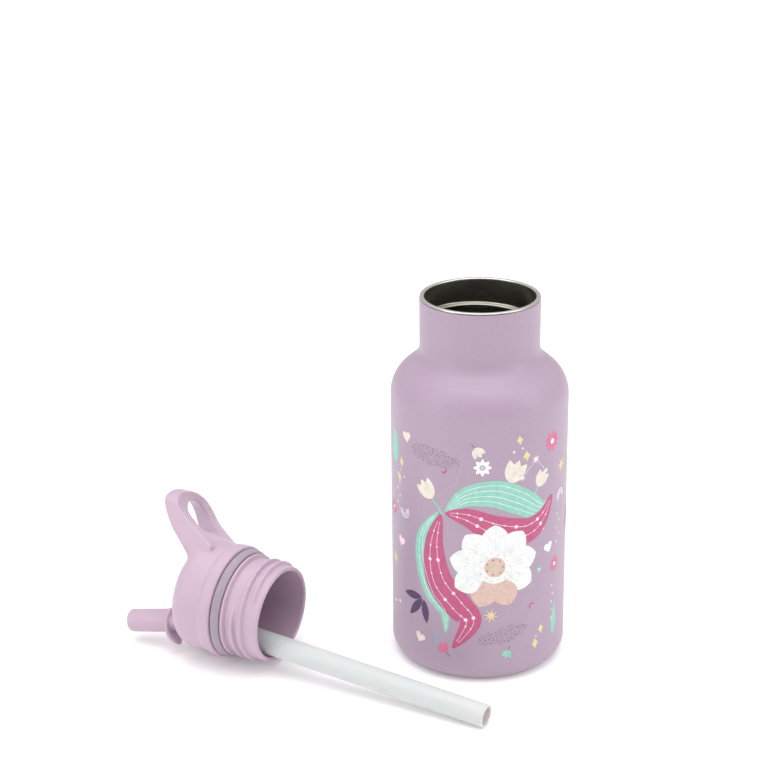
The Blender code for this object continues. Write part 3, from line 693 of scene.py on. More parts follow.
def make_base():
    """Base cup, the disc in its middle, and the getter between the walls."""
    top = BASE_PLATE_Z + STEEL
    cup = turned("base_cup_steel", [
        (0.0, top, 0),
        (BASE_COLLAR_RADIUS - STEEL, top, 0.0004),
        (BASE_COLLAR_RADIUS - STEEL, BASE_COLLAR_TOP, 0),
        (BASE_COLLAR_RADIUS, BASE_COLLAR_TOP, 0),
        (BASE_COLLAR_RADIUS, BASE_PLATE_Z, 0),
        (FOOT_OUTER_RADIUS, BASE_PLATE_Z, 0),
        (FOOT_OUTER_RADIUS, 0.0, FOOT_ROUND),
        (FOOT_INNER_RADIUS, 0.0, FOOT_ROUND),
        (FOOT_INNER_RADIUS, BASE_PLATE_Z, 0),
        (0.0, BASE_PLATE_Z, 0),
    ], BODY_STEPS, BASE_STEEL)
    place(cup, "bottle", "base_cup", "bare_steel")
    disc = turned("base_disc_steel", puck(DISC_RADIUS, 0.0, DISC_THICKNESS, 0.0002), BODY_STEPS, BASE_STEEL)
    place(disc, "bottle", "base_disc", "bare_steel")
    pellet = puck(GETTER_RADIUS, GETTER_LOW, GETTER_LOW + GETTER_THICKNESS, 0.0003)
    place(turned("getter", pellet, SMALL_STEPS, GETTER), "bottle", "getter_pellet", "getter_alloy")


def puck(radius, low, high, edge):
    """Corners of a solid disc's half section."""
    return [(0.0, high, 0), (radius, high, edge), (radius, low, edge), (0.0, low, 0)]


# ==== lid ====

def lid_pose():
    """Matrix that lays the upright lid on its side, as part of the frame."""
    heading = Matrix.Rotation(LID_HEADING, 4, "Z")
    tip_over = Matrix.Rotation(-(pi / 2 - LID_DIP), 4, "Y")
    roll = Matrix.Rotation(LID_ROLL, 4, "Z")
    return Matrix.Translation((LID_X, LID_Y, FLANGE_RADIUS * cos(LID_DIP))) @ heading @ tip_over @ roll


LID = lid_pose()
PIVOT = LID @ Matrix.Translation((PIVOT_X, 0, PIVOT_Z))
UNDER_HUB = Matrix.Translation((PIVOT_X, 0, 0))


def quarter_wave(x, start_x, start_z, rise):
    """Height of a curve that climbs from its start and levels off at the loop's end."""
    share = max(0.0, min(1.0, (x - start_x) / (LOOP_END_X - start_x)))
    return start_z + rise * sin(pi / 2 * share)


def oval_end(shoulder_x, end_x, half):
    """Half an ellipse across the loop, from one side round to the other."""
    angles = np.linspace(-pi / 2, pi / 2, 49)
    return [(shoulder_x + (end_x - shoulder_x) * cos(a), half * sin(a)) for a in angles]


def plan_outline(start_x, shoulder_x, end_x, half, corner):
    """Outline from above: two small corners at its start and half an ellipse at its end."""
    outline = arc(start_x + corner, -half + corner, corner, pi, 1.5 * pi, 6)
    outline += oval_end(shoulder_x, end_x, half)
    outline += arc(start_x + corner, half - corner, corner, pi / 2, pi, 6)
    return outline


def prism(name, outline, low, high):
    """An outline in its own XY plane, raised from one height to another."""
    return loft(name, [[(x, y, z) for x, y in outline] for z in (low, high)])


def underside(x):
    """Height of the loop's underside, which hangs lower where it meets the dome's side."""
    hang = WEB_DROP * (1 - smooth_step((x - WEB_FROM) / (WEB_TO - WEB_FROM)))
    return quarter_wave(x, LOOP_LOW_ROOT_X, LOOP_LOW_ROOT_Z, LOOP_LOW_RISE) - hang


def loop_side_form():
    """The space between the loop's underside and its upper side, right across it."""
    stations = np.linspace(LOOP_BASE_X - GAP, LOOP_END_X + GAP, 80)
    high = [(x, quarter_wave(x, LOOP_ROOT_X, LOOP_TOP_ROOT_Z, LOOP_TOP_RISE)) for x in stations]
    low = [(x, underside(x)) for x in stations]
    half = 1.2 * LOOP_HALF_WIDTH
    form = prism("side", high + low[::-1], -half, half)
    form.data.transform(Matrix.Rotation(pi / 2, 4, "X"))
    return form


def make_loop():
    """Carry loop and its root: the plan outline with its finger hole, cut to the side profile."""
    outline = plan_outline(LOOP_BASE_X, LOOP_SHOULDER_X, LOOP_END_X, LOOP_HALF_WIDTH, 0.001)
    loop = prism("carry_loop", outline, 0.002, LOOP_FORM_TOP - 0.002)
    hole_outline = plan_outline(HOLE_START_X, HOLE_SHOULDER_X, HOLE_END_X, HOLE_HALF_WIDTH, 0.0015)
    hole = prism("hole", hole_outline, 0.0, LOOP_FORM_TOP)
    cut(loop, [hole])
    cut(loop, [loop_side_form()], "INTERSECT")
    return loop


def loft(name, rings):
    """Skin a row of rings of points and close both ends."""
    sides = len(rings[0])
    points = [point for ring in rings for point in ring]
    faces = [tuple(range(sides)), tuple(range(len(points) - sides, len(points)))[::-1]]
    for row in range(len(rings) - 1):
        faces += ring_faces(sides, row * sides, (row + 1) * sides)
    return add_object(name, skin(name, points, faces), None)


def root_weight(places):
    """How strongly the skin is relaxed: most where the loop grows out of the dome."""
    away = np.hypot(places[:, 0] - ROOT_X, places[:, 2] - ROOT_Z)
    side = np.clip((np.abs(places[:, 1]) - ROOT_SIDE) / ROOT_SIDE, 0.0, 1.0)
    return np.clip(1.25 - away / ROOT_REACH, 0.0, 1.0) * (0.35 + 0.65 * side)


def make_lid_cap():
    """Domed cap and carry loop in one moulding, with the spout's channel and the ports."""
    dome = turned("dome", [
        (0.0, DOME_TOP, 0),
        (DOME_RADIUS, DOME_TOP, DOME_EDGE_ARC),
        (DOME_RADIUS, DOME_FULL_Z, 0.005),
        (DOME_WAIST_RADIUS, FLANGE_HEIGHT + 0.0006, 0.0006),
        (FLANGE_RADIUS, FLANGE_HEIGHT, 0.0005),
        (FLANGE_RADIUS, 0.0, 0.0004),
        (CAP_BORE_RADIUS, 0.0, 0.0003),
        (CAP_BORE_RADIUS, CAP_BORE_DEPTH, 0),
        (0.0, CAP_BORE_DEPTH, 0),
    ], LID_STEPS, arc_steps=12)
    cap = fuse("lid_cap_moulded", [dome, make_loop()], CAP_VOXEL, PLASTIC)
    relax(cap, 90, root_weight)
    relax(cap, 4)
    pocket = HUB_RADIUS + GAP
    half = HUB_HALF_WIDTH + GAP
    side = CHANNEL_HALF
    cut(cap, [
        block((PIVOT_X, -side, PIVOT_Z - side), (CHANNEL_END_X, side, CUT_TOP)),
        block((CHANNEL_END_X - GAP, -side, RIM_TOP_Z), (HOLE_START_X + GAP, side, CUT_TOP)),
        drill(pocket, (PIVOT_X, -half, PIVOT_Z), (PIVOT_X, half, PIVOT_Z)),
        block((PIVOT_X - pocket, -half, PIVOT_Z), (PIVOT_X + pocket, half, CUT_TOP)),
        drill(GASKET_RADIUS + GAP, (PIVOT_X, 0, CUT_LOW), (PIVOT_X, 0, PIVOT_Z)),
        drill(PIN_BORE, (PIVOT_X, -PIN_OUTER - GAP, PIVOT_Z), (PIVOT_X, PIN_OUTER + GAP, PIVOT_Z)),
        drill(VENT_STEM_RADIUS + GAP, (VENT_X, 0, CUT_LOW), (VENT_X, 0, PIVOT_Z)),
    ])
    remesh(cap, CAP_VOXEL)
    relax(cap, 4, shrink=False)
    shade(cap, SKIN_ANGLE)
    place(cap, "lid", "lid_cap", "lid_plastic", LID)


def make_plug():
    """Hollow plug with its seal seat, ridge and thread."""
    bore = PLUG_RADIUS - PLUG_WALL
    ridge_top = -SEAL_HEIGHT - 2 * GAP
    deck_low = PLUG_DECK_TOP - PLUG_DECK_THICKNESS
    corners = [
        (0.0, PLUG_DECK_TOP, 0),
        (PLUG_COLLAR_RADIUS, PLUG_DECK_TOP, 0.0003),
        (PLUG_COLLAR_RADIUS, -GAP, 0),
        (SEAL_SEAT_RADIUS, -GAP, 0),
        (SEAL_SEAT_RADIUS, ridge_top, 0),
        (RIDGE_RADIUS, ridge_top, 0.0004),
        (RIDGE_RADIUS, ridge_top - RIDGE_HEIGHT, 0.0004),
        (PLUG_RADIUS, ridge_top - RIDGE_HEIGHT - 0.0007, 0.0005),
        (PLUG_RADIUS, PLUG_END_Z, 0.0007),
        (bore, PLUG_END_Z, 0.0007),
        (bore, deck_low, 0.001),
        (0.0, deck_low, 0),
    ]
    profile = subdivided(rounded(corners, 6), THREAD_ROW * 1.2)
    thread = thread_on(PLUG_RADIUS, PLUG_THREAD_LOW, PLUG_THREAD_TURNS, PLUG_THREAD_START, PLUG_THREAD_HEIGHT)
    plug = revolve("plug_threaded", profile, THREAD_STEPS, PLASTIC, thread, 50)
    high = PLUG_DECK_TOP + 0.004
    seat = PLUG_DECK_TOP - CONNECTOR_FLANGE - GAP
    cut(plug, [
        drill(CONNECTOR_FLANGE_RADIUS + GAP, (PIVOT_X, 0, seat), (PIVOT_X, 0, high)),
        drill(CONNECTOR_RADIUS + GAP, (PIVOT_X, 0, 0), (PIVOT_X, 0, high)),
        drill(VENT_STEM_RADIUS + GAP, (VENT_X, 0, 0), (VENT_X, 0, high)),
    ])
    shade(plug, 50)
    place(plug, "lid", "threaded_plug", "lid_plastic", LID)


def make_seal():
    """Silicone ring under the flange, softly bulging."""
    high = -GAP
    low = high - SEAL_HEIGHT
    inner = SEAL_SEAT_RADIUS + GAP
    ring = turned("seal_ring_silicone", [
        (inner, high, 0.0003),
        (SEAL_RADIUS, high, 0.0006),
        (SEAL_RADIUS, (high + low) / 2, 0.002),
        (SEAL_RADIUS - 0.0007, low, 0.0007),
        (inner, low, 0.0003),
    ], LID_STEPS, SEAL_RUBBER, LID, 6)
    place(ring, "seal", "seal_ring", "grey_silicone")


def thumb_tab():
    """Curved tab: a rounded strip that bends from over the tube down to the thumb's end."""
    stations = 40
    middle = TAB_BEND_RADIUS - TAB_THICKNESS / 2
    rings = []
    for station in range(stations + 1):
        share = station / stations
        angle = TAB_FROM + (TAB_TO - TAB_FROM) * share
        end_left = (1 - share) * (TAB_TO - TAB_FROM) * middle
        width = TAB_HALF_WIDTH
        if end_left < TAB_HALF_WIDTH:
            width *= max(0.08, (1 - (1 - end_left / TAB_HALF_WIDTH) ** 2)) ** 0.5
        thick = TAB_THICKNESS / 2 * (1 - 0.25 * share)
        if end_left < TAB_THICKNESS / 2:
            thick *= max(0.25, end_left / (TAB_THICKNESS / 2)) ** 0.5
        ring = []
        for turn in around(24):
            across = copysign(abs(cos(turn)) ** TAB_ROUNDNESS, cos(turn)) * width
            out = middle + copysign(abs(sin(turn)) ** TAB_ROUNDNESS, sin(turn)) * thick
            ring.append((TAB_BEND_X + out * cos(angle), across, TAB_BEND_Z + out * sin(angle)))
        rings.append(ring)
    return loft("thumb_tab", rings)


def hub_weight(places):
    """How strongly the spout's skin is relaxed: most where tube and tab meet the hub."""
    return np.clip(1.3 - np.hypot(places[:, 0] + 0.003, places[:, 2] - 0.011) / 0.008, 0, 1)


def make_flip_spout():
    """Hub, drinking tube and thumb tab, fused in one skin about the pivot."""
    lean = Matrix.Rotation(-SPOUT_LEAN, 4, "Y")
    hub_section = puck(HUB_RADIUS, -HUB_HALF_WIDTH, HUB_HALF_WIDTH, 0.0006)
    hub = turned("hub", hub_section, 96, None, Matrix.Rotation(pi / 2, 4, "X"))
    tube_section = [(0, SPOUT_LENGTH, 0), (SPOUT_RADIUS - 0.0002, SPOUT_LENGTH, SPOUT_TIP_ARC),
                    (SPOUT_RADIUS, 0, 0), (0, 0, 0)]
    tube = turned("tube", tube_section, 96, None, lean)
    spout = fuse("flip_spout_moulded", [hub, tube, thumb_tab()], SPOUT_VOXEL, PLASTIC)
    relax(spout, 14, hub_weight)
    cut(spout, [
        drill(SPOUT_BORE, (0, 0, 0), lean @ Vector((0, 0, SPOUT_LENGTH + 0.003))),
        drill(SPOUT_BORE, (0, 0, SPOUT_BORE / 2), (0, 0, -HUB_RADIUS - 0.003)),
        drill(PIN_BORE, (0, GAP - PIN_INNER, 0), (0, -PIN_OUTER, 0)),
        drill(PIN_BORE, (0, PIN_INNER - GAP, 0), (0, PIN_OUTER, 0)),
    ])
    remesh(spout, SPOUT_VOXEL)
    relax(spout, 4, shrink=False)
    shade(spout, SKIN_ANGLE)
    place(spout, "spout", "flip_spout", "lid_plastic", PIVOT)


def make_pins():
    """Steel pins with rounded ends, one each side of the hub."""
    turn = Matrix.Rotation(-pi / 2, 4, "X")
    for side, label in ((-1, "left"), (1, "right")):
        low, high = sorted((side * PIN_INNER, side * PIN_OUTER))
        pin = turned("pin_" + label, puck(PIN_RADIUS, low, high, 0.0003), 48, BASE_STEEL, turn)
        place(pin, "lid", "pivot_pin_" + label, "bare_steel", PIVOT)


def make_gasket():
    """Silicone gasket, hollowed on top to the hub's curve."""
    low = PLUG_DECK_TOP + GAP
    high = PIVOT_Z - 0.001
    gasket = turned("gasket_silicone", [
        (GASKET_BORE, high, 0),
        (GASKET_RADIUS, high, 0),
        (GASKET_RADIUS, low, 0.0003),
        (GASKET_BORE, low, 0.0003),
    ], SMALL_STEPS, CLEAR_RUBBER, UNDER_HUB)
    cut(gasket, [drill(HUB_RADIUS + GAP, (PIVOT_X, -PIN_OUTER, PIVOT_Z), (PIVOT_X, PIN_OUTER, PIVOT_Z), 96)])
    shade(gasket, 40)
    place(gasket, "lid", "spout_gasket", "clear_silicone", LID)


def make_connector():
    """Barbed nipple that the straw pushes onto."""
    top = PLUG_DECK_TOP - GAP / 3
    low = top - CONNECTOR_FLANGE
    barb_z = CONNECTOR_END_Z + 0.0022
    nipple = turned("connector_nipple", [
        (CONNECTOR_BORE, top, 0.0002),
        (CONNECTOR_FLANGE_RADIUS, top, 0.0003),
        (CONNECTOR_FLANGE_RADIUS, low, 0.0003),
        (CONNECTOR_RADIUS, low, 0.0002),
        (CONNECTOR_RADIUS, barb_z + CONNECTOR_BARB, 0),
        (CONNECTOR_RADIUS + CONNECTOR_BARB, barb_z, 0.0001),
        (CONNECTOR_RADIUS - CONNECTOR_BARB, CONNECTOR_END_Z, 0.0002),
        (CONNECTOR_BORE, CONNECTOR_END_Z, 0.0002),
    ], SMALL_STEPS, CLEAR_RUBBER, UNDER_HUB, 4)
    place(nipple, "lid", "straw_connector", "clear_silicone", LID)


def make_vent():
    """Mushroom valve under the plug's deck."""
    cap_top = PLUG_DECK_TOP - PLUG_DECK_THICKNESS - GAP
    valve = turned("vent_mushroom", [
        (0, PLUG_DECK_TOP, 0),
        (VENT_STEM_RADIUS, PLUG_DECK_TOP, 0.0002),
        (VENT_STEM_RADIUS, cap_top, 0),
        (VENT_CAP_RADIUS, cap_top, 0.0003),
        (VENT_CAP_RADIUS - 0.0004, cap_top - 0.0014, 0.0005),
        (0, cap_top - 0.0016, 0),
    ], SMALL_STEPS, CLEAR_RUBBER, Matrix.Translation((VENT_X, 0, 0)), 5)
    place(valve, "lid", "vent_valve", "clear_silicone", LID)


def make_straw():
    """Soft straw, drooping a little from its connector to the table."""
    down = Vector((-cos(LID_ROLL), sin(LID_ROLL), 0.0))
    droop = Matrix.Rotation(STRAW_DROOP, 4, Vector((0, 0, -1)).cross(down))
    pose = LID @ UNDER_HUB @ droop
    low = STRAW_TOP_Z - STRAW_LENGTH
    straw = turned("straw_frosted", [
        (STRAW_BORE, STRAW_TOP_Z, 0.0001),
        (STRAW_RADIUS, STRAW_TOP_Z, 0.0002),
        (STRAW_RADIUS, low, 0.0002),
        (STRAW_BORE, low, 0.0001),
    ], 96, frosted_straw(pose.to_euler()), arc_steps=4)
    place(straw, "straw", "straw", "frosted_straw", pose)


# ==== print ====
# Outlines are lists of (x, y) in millimetres about a motif's own middle.

INKS = {
    "white": (0.86, 0.86, 0.87),
    "petal_white": (0.78, 0.79, 0.78),
    "petal_pink": (0.86, 0.66, 0.74),
    "cream": (0.74, 0.68, 0.6),
    "sand": (0.6, 0.48, 0.38),
    "yellow": (0.72, 0.6, 0.32),
    "blush": (0.64, 0.45, 0.39),
    "pink": (0.62, 0.16, 0.28),
    "magenta": (0.48, 0.085, 0.2),
    "mint": (0.27, 0.56, 0.46),
    "blue_green": (0.26, 0.42, 0.48),
    "plum": (0.085, 0.04, 0.11),
    "grey": (0.48, 0.48, 0.5),
}
PRINT = {name: [] for name in INKS}


def spun(outline, turn):
    """An outline turned about its own middle."""
    return [(x * cos(turn) - y * sin(turn), x * sin(turn) + y * cos(turn)) for x, y in outline]


def shifted(outline, across, up):
    """An outline moved."""
    return [(x + across, y + up) for x, y in outline]


def draw(colour, outline, angle, z, turn=0.0, layer=0):
    """Lay an outline on the body: angle and turn in degrees, z in millimetres."""
    middle = radians(angle) * BODY_RADIUS / MM
    PRINT[colour].append((shifted(spun(outline, radians(turn)), middle, z), layer))


def ellipse(half_x, half_y, count=20):
    """An ellipse about its middle."""
    return [(half_x * cos(a), half_y * sin(a)) for a in around(count)]


def dot(size, count, x=0.0, y=0.0):
    """A round dot."""
    return shifted(ellipse(size, size, count), x, y)


def petal(start, length, half, turn, blunt=0.75, count=12):
    """A petal that grows from a distance along one direction, pointed at its root."""
    side = []
    for step in range(count + 1):
        share = step / count
        side.append((start + length * share, half * sin(pi * share ** blunt) ** 0.8))
    return spun(side + [(x, -y) for x, y in side[-2:0:-1]], turn)


def heart(size):
    """A heart, its height about the size."""
    points = []
    for a in around(28):
        x = 16 * sin(a) ** 3
        y = 13 * cos(a) - 5 * cos(2 * a) - 2 * cos(3 * a) - cos(4 * a)
        points.append((x * size / 30, y * size / 30))
    return points


def star(tips, outer, inner, turn=90.0):
    """A star with straight sides."""
    points = []
    for index, a in enumerate(around(2 * tips)):
        reach = inner if index % 2 else outer
        points.append((reach * cos(a), reach * sin(a)))
    return spun(points, radians(turn))


def sparkle(half_x, half_y):
    """A four-pointed glint with hollow sides."""
    return [(half_x * cos(a) * abs(cos(a)) ** 1.5, half_y * sin(a) * abs(sin(a)) ** 1.5)
            for a in around(24)]


def smooth_line(points, pieces=10):
    """A curve through a few points."""
    closed_in = [points[0], *points, points[-1]]
    line = []
    for index in range(1, len(points)):
        p0, p1, p2, p3 = (np.array(p, float) for p in closed_in[index - 1:index + 3])
        for piece in range(pieces):
            t = piece / pieces
            line.append(tuple(0.5 * (2 * p1 + (p2 - p0) * t + (2 * p0 - 5 * p1 + 4 * p2 - p3) * t * t
                                     + (3 * p1 - p0 - 3 * p2 + p3) * t ** 3)))
    return line + [tuple(points[-1])]


def beside(line):
    """Each point of a line, the unit way to its left there, and a swell from 0 at the ends to 1."""
    last = len(line) - 1
    for index, (x, y) in enumerate(line):
        before = line[max(0, index - 1)]
        after = line[min(last, index + 1)]
        run = Vector((after[0] - before[0], after[1] - before[1])).normalized()
        yield x, y, -run.y, run.x, sin(pi * index / last)


def ribbon(line, width, taper=0.0):
    """A band along a line; taper 0 keeps its width, 1 narrows it to points at both ends."""
    left = []
    right = []
    for x, y, out_x, out_y, swell in beside(line):
        half = width / 2 * ((1 - taper) + taper * max(0.04, swell) ** 0.75)
        left.append((x + out_x * half, y + out_y * half))
        right.append((x - out_x * half, y - out_y * half))
    return left + right[::-1]


def draw_flower(petal_ink, heart_ink, angle, z, radius, petals=8):
    """A simple flower with open petals and a round middle."""
    for way in around(petals):
        draw(petal_ink, petal(radius * 0.28, radius * 0.72, radius * 0.22, way), angle, z)
    draw(heart_ink, dot(radius * 0.24, 20), angle, z, layer=1)


def draw_cloud(angle, z, half_x, half_y, turn, seed):
    """A drift of tiny dark dots."""
    random = np.random.default_rng(seed)
    step = 1.05
    for row in range(int(-half_y / step), int(half_y / step) + 1):
        for column in range(int(-half_x / step), int(half_x / step) + 1):
            x = (column + 0.5 * (row % 2)) * step + random.uniform(-0.25, 0.25)
            y = row * step + random.uniform(-0.2, 0.2)
            size = random.uniform(0.15, 0.25)
            if (x / half_x) ** 2 + (y / half_y) ** 2 < random.uniform(0.75, 1.0):
                draw("plum", dot(size, 8, x, y), angle, z, turn)


def draw_rainbow(angle, z, turn):
    """Three thin arcs, one inside the other."""
    for radius in (1.3, 2.1, 2.9):
        draw("white", ribbon(arc(0, 0, radius, -0.5, pi + 0.3, 16), 0.28), angle, z, turn)


def draw_constellation(places):
    """Small white stars joined by thin lines."""
    for x, y, size in places:
        draw("white", shifted(star(6, size, size * 0.32), x, y), 0, 0)
    for (x, y, _), (after_x, after_y, _) in zip(places, places[1:]):
        gap_x = 0.18 * (after_x - x)
        gap_y = 0.18 * (after_y - y)
        draw("white", ribbon([(x + gap_x, y + gap_y), (after_x - gap_x, after_y - gap_y)], 0.12), 0, 0)


def draw_triangle(angle, z, size, turn):
    """A faint triangle of thin lines."""
    corners = [(size * cos(a), size * 0.75 * sin(a)) for a in (0.2, 2.4, 4.4)]
    for start, end in zip(corners, corners[1:] + corners[:1]):
        draw("grey", ribbon([start, end], 0.09), angle, z, turn)


def draw_sprig(colour, angle, z, length, turn):
    """Three leaves that fan out from one point."""
    for step in (-1, 0, 1):
        leaf = petal(length * 0.08, length * (1.0 - 0.12 * abs(step)), length * 0.15, step * radians(46), 0.9)
        draw(colour, leaf, angle, z, turn)


def draw_twig(angle, z, turn):
    """A thin stem with small side leaves."""
    draw("blue_green", ribbon([(0, -4), (0.3, 0), (0, 4)], 0.28), angle, z, turn)
    for step in range(4):
        for side in (-1, 1):
            leaf = petal(0.2, 1.7, 0.3, pi / 2 - side * 0.7, 1.0)
            draw("blue_green", shifted(leaf, 0, 1.6 * step - 2.6), angle, z, turn)


def draw_bud(colour, angle, z, size, turn):
    """A bud of three petals on a short stem."""
    for way in (-0.55, 0.0, 0.55):
        draw(colour, petal(0.0, size, size * 0.24, pi / 2 + way, 1.0), angle, z, turn)
    draw("plum", ribbon([(0, 0), (0.1, -size * 0.45)], 0.22), angle, z, turn)


def shift_line(path, offset):
    """A line beside another, nearer to it at the ends."""
    return [(x + out_x * offset * swell, y + out_y * offset * swell)
            for x, y, out_x, out_y, swell in beside(path)]


def draw_leaf(colour, line, width, layer, veins, dots=False):
    """A long curved leaf with fine veins, or with two strings of dots."""
    path = smooth_line(line)
    draw(colour, ribbon(path, width, 1.0), 0, 0, layer=layer)
    for offset in veins:
        vein = shift_line(path, offset * width)
        draw("white", ribbon(vein[3:-3], 0.18, 0.4), 0, 0, layer=layer + 1)
        if not dots:
            continue
        for index in range(6, len(path) - 5, 4):
            size = 0.75 if (index // 4) % 3 == 0 else 0.38
            draw("petal_pink", dot(size, 14, *vein[index]), 0, 0, layer=layer + 2)


def draw_bud_cluster(angle, z, size, turn):
    """A cream tulip: three broad petals on a mint stem."""
    draw("mint", ribbon([(0.0, -size * 0.9), (0.3, -size * 0.3), (0.0, size * 0.2)], 0.8), angle, z, turn)
    for way, layer in ((-0.42, 1), (0.42, 1), (0.0, 2)):
        draw("cream", petal(0.0, size, size * 0.24, pi / 2 + way, 0.85), angle, z, turn, layer=layer)
    for way in (-0.1, 0.1):
        vein = [(way * size * 0.4, size * 0.25), (way * size, size * 0.75)]
        draw("sand", ribbon(vein, 0.16, 0.5), angle, z, turn, layer=3)


def draw_blossom(u, z):
    """The large white blossom in the middle of the print, its lower petals blushing."""
    angle = degrees(u * MM / BODY_RADIUS)
    for step, way in enumerate(around(BLOSSOM_PETALS, 0.25)):
        colour = "blush" if sin(way) < -0.6 else "petal_white"
        layer = 7 + step % 2 - 0.5 * (step == BLOSSOM_PETALS - 1)
        draw(colour, petal(3.0, 15.0, 5.2, way, 1.5, 18), angle, z, layer=layer)
        for spread in (-0.12, 0.0, 0.12):
            start = (6.0 * cos(way + spread), 6.0 * sin(way + spread))
            end = (13.0 * cos(way + spread * 1.25), 13.0 * sin(way + spread * 1.25))
            draw("grey", ribbon([start, end], 0.14, 0.5), angle, z, layer=layer + 2)
    for colour, size, layer in (("petal_white", 7.0, 10), ("blush", 4.2, 11), ("sand", 2.4, 12)):
        draw(colour, dot(size, 40), angle, z, layer=layer)
    for step, way in enumerate(around(14)):
        reach = 5.4 if step % 2 else 6.1
        draw("grey", dot(0.28, 10, reach * cos(way), reach * sin(way)), angle, z, layer=12)
    for way in around(7):
        draw("plum", dot(0.3, 10, 3.2 * cos(way), 3.2 * sin(way)), angle, z, layer=13)


def draw_main_motif():
    """The big blossom, its broad leaves and the tulips behind it."""
    draw_bud_cluster(17, 86, 9.5, -22)
    draw_bud_cluster(37, 82, 7.0, -34)
    draw_bud_cluster(-34, 78, 8.5, 38)
    draw_leaf("mint", [(-15, 73), (-7, 80.5), (4, 82), (14, 78), (24, 72), (30.5, 74)], 11.5, 1,
              (-0.3, -0.1, 0.12, 0.32))
    draw_leaf("magenta", [(-15, 73), (-6, 72), (5, 67), (17, 64.5), (25, 68), (31, 76)], 11.5, 4,
              (-0.17, 0.2), True)
    draw_leaf("mint", [(-18, 73), (-25.5, 62), (-26, 50), (-22, 38), (-15.5, 30), (-15, 21)], 6.2, 1,
              (-0.15, 0.2))
    draw_leaf("magenta", [(-17, 72), (-20, 58), (-18, 44), (-10, 34), (-5, 27), (-12, 15)], 12.5, 2,
              (-0.2, 0.18), True)
    draw_blossom(4.5, 51)


def draw_small_motifs():
    """Everything scattered round the main motif."""
    draw("mint", ellipse(3.3, 6.8), -72, 93, 2.9)
    draw("mint", petal(0, 16, 1.9, -pi / 2, 1.8), 57.0, 30, -4)
    for colour, angle, z, size, turn in (("cream", -56, 100, 4.6, 8), ("petal_pink", -63, 54, 4.4, -10),
                                         ("petal_white", 48, 54, 4.8, 12), ("cream", -44, 16, 4.6, -18)):
        draw(colour, heart(size), angle, z, turn)
    draw_cloud(-33, 95.5, 12.0, 4.2, -9, PRINT_SEED)
    draw_cloud(14, 21, 11.5, 3.8, 12, PRINT_SEED + 1)
    draw_cloud(80, 60, 8.0, 5.0, 70, PRINT_SEED + 2)
    for bud in (("cream", -6, 101, 4.6, 215), ("pink", -24, 12.6, 4.6, 38), ("mint", 17, 14, 3.6, 160)):
        draw_bud(*bud)
    for flower in (("white", "grey", -1, 93, 3.6), ("white", "grey", 40, 65, 2.9, 7),
                   ("pink", "petal_white", 50, 98.5, 4.4, 9), ("pink", "petal_white", 55.5, 45, 3.4),
                   ("pink", "petal_white", -75, 66, 3.2), ("mint", "white", 39.5, 46, 1.7, 5)):
        draw_flower(*flower)
    for angle, z, size in ((23, 103, 1.7), (28, 96, 2.0), (42, 19.5, 1.8), (37, 14, 2.1), (-62, 88, 1.9),
                           (-65, 81, 1.8)):
        draw("yellow", sparkle(size * 0.85, size * 1.25), angle, z, 6)
    for angle, z, size in ((25, 99.5, 0.42), (19, 98.5, 0.5), (38, 17, 0.4), (-59, 82.5, 0.5),
                           (-63, 84.5, 0.4)):
        draw("petal_pink", dot(size, 12), angle, z)
    draw_constellation(((15.3, 87.2, 1.5), (21.4, 93.6, 1.9), (26.9, 87.4, 1.4)))
    draw_constellation(((-45.5, 24.5, 1.0), (-40.5, 26.5, 1.1)))
    for angle, z, size in ((62.5, 86, 3.6), (-73.5, 44, 3.7), (5, 30, 3.2)):
        draw("yellow", star(8, size, size * 0.3, 78), angle, z)
    draw_rainbow(-59, 68, 200)
    draw_rainbow(62, 73, 20)
    draw_sprig("plum", -41, 34, 11.5, 232)
    draw_twig(-31, 17, 8)
    for index in range(5):
        draw("petal_pink", ellipse(0.36, 0.5, 10), 53.0 + index % 2, 36.0 - 3.6 * index)
        draw("petal_pink", ellipse(0.3, 0.7, 10), 58.0 + 3 * (index % 2), 66.0 - 3.0 * index)
        draw("petal_white", ellipse(0.3, 0.8, 10), -68.0 + 3 * (index % 2), 82.0 - 3.0 * index)
    for angle, z, turn in ((-26, 91, 0), (34, 31, 180)):
        draw("magenta", ribbon(arc(0, 0, 1.2, -2.4, 0.6, 10), 0.7, 0.6), angle, z, turn)
    for triangle in ((-30, 84, 7.5, 8), (-20, 90, 6.0, 40), (24, 36, 8.5, 20), (40, 34, 6.0, 65)):
        draw_triangle(*triangle)


# ==== wrapping the print on the body ====

def strip(outline, lift):
    """One outline as a thin closed sheet, split so that it can follow the round body."""
    shape = bmesh.new()
    face = shape.faces.new([shape.verts.new((x, z, 0.0)) for x, z in outline])
    face.normal_update()
    bmesh.ops.triangulate(shape, faces=[face])
    first = min(x for x, _ in outline)
    last = max(x for x, _ in outline)
    for number in range(ceil(first / WRAP_STEP), ceil(last / WRAP_STEP)):
        bmesh.ops.bisect_plane(shape, geom=shape.verts[:] + shape.edges[:] + shape.faces[:], dist=0.001,
                               plane_co=(number * WRAP_STEP, 0, 0), plane_no=(1, 0, 0))
    raised = bmesh.ops.extrude_face_region(shape, geom=shape.faces[:])
    tops = {part for part in raised["geom"] if isinstance(part, bmesh.types.BMVert)}
    for vert in shape.verts:
        reach = BODY_RADIUS + (lift if vert in tops else -INK_SINK)
        angle = vert.co.x * MM / BODY_RADIUS
        vert.co = (reach * sin(angle), -reach * cos(angle), vert.co.y * MM)
    bmesh.ops.recalc_face_normals(shape, faces=shape.faces)
    return to_mesh("strip", shape)


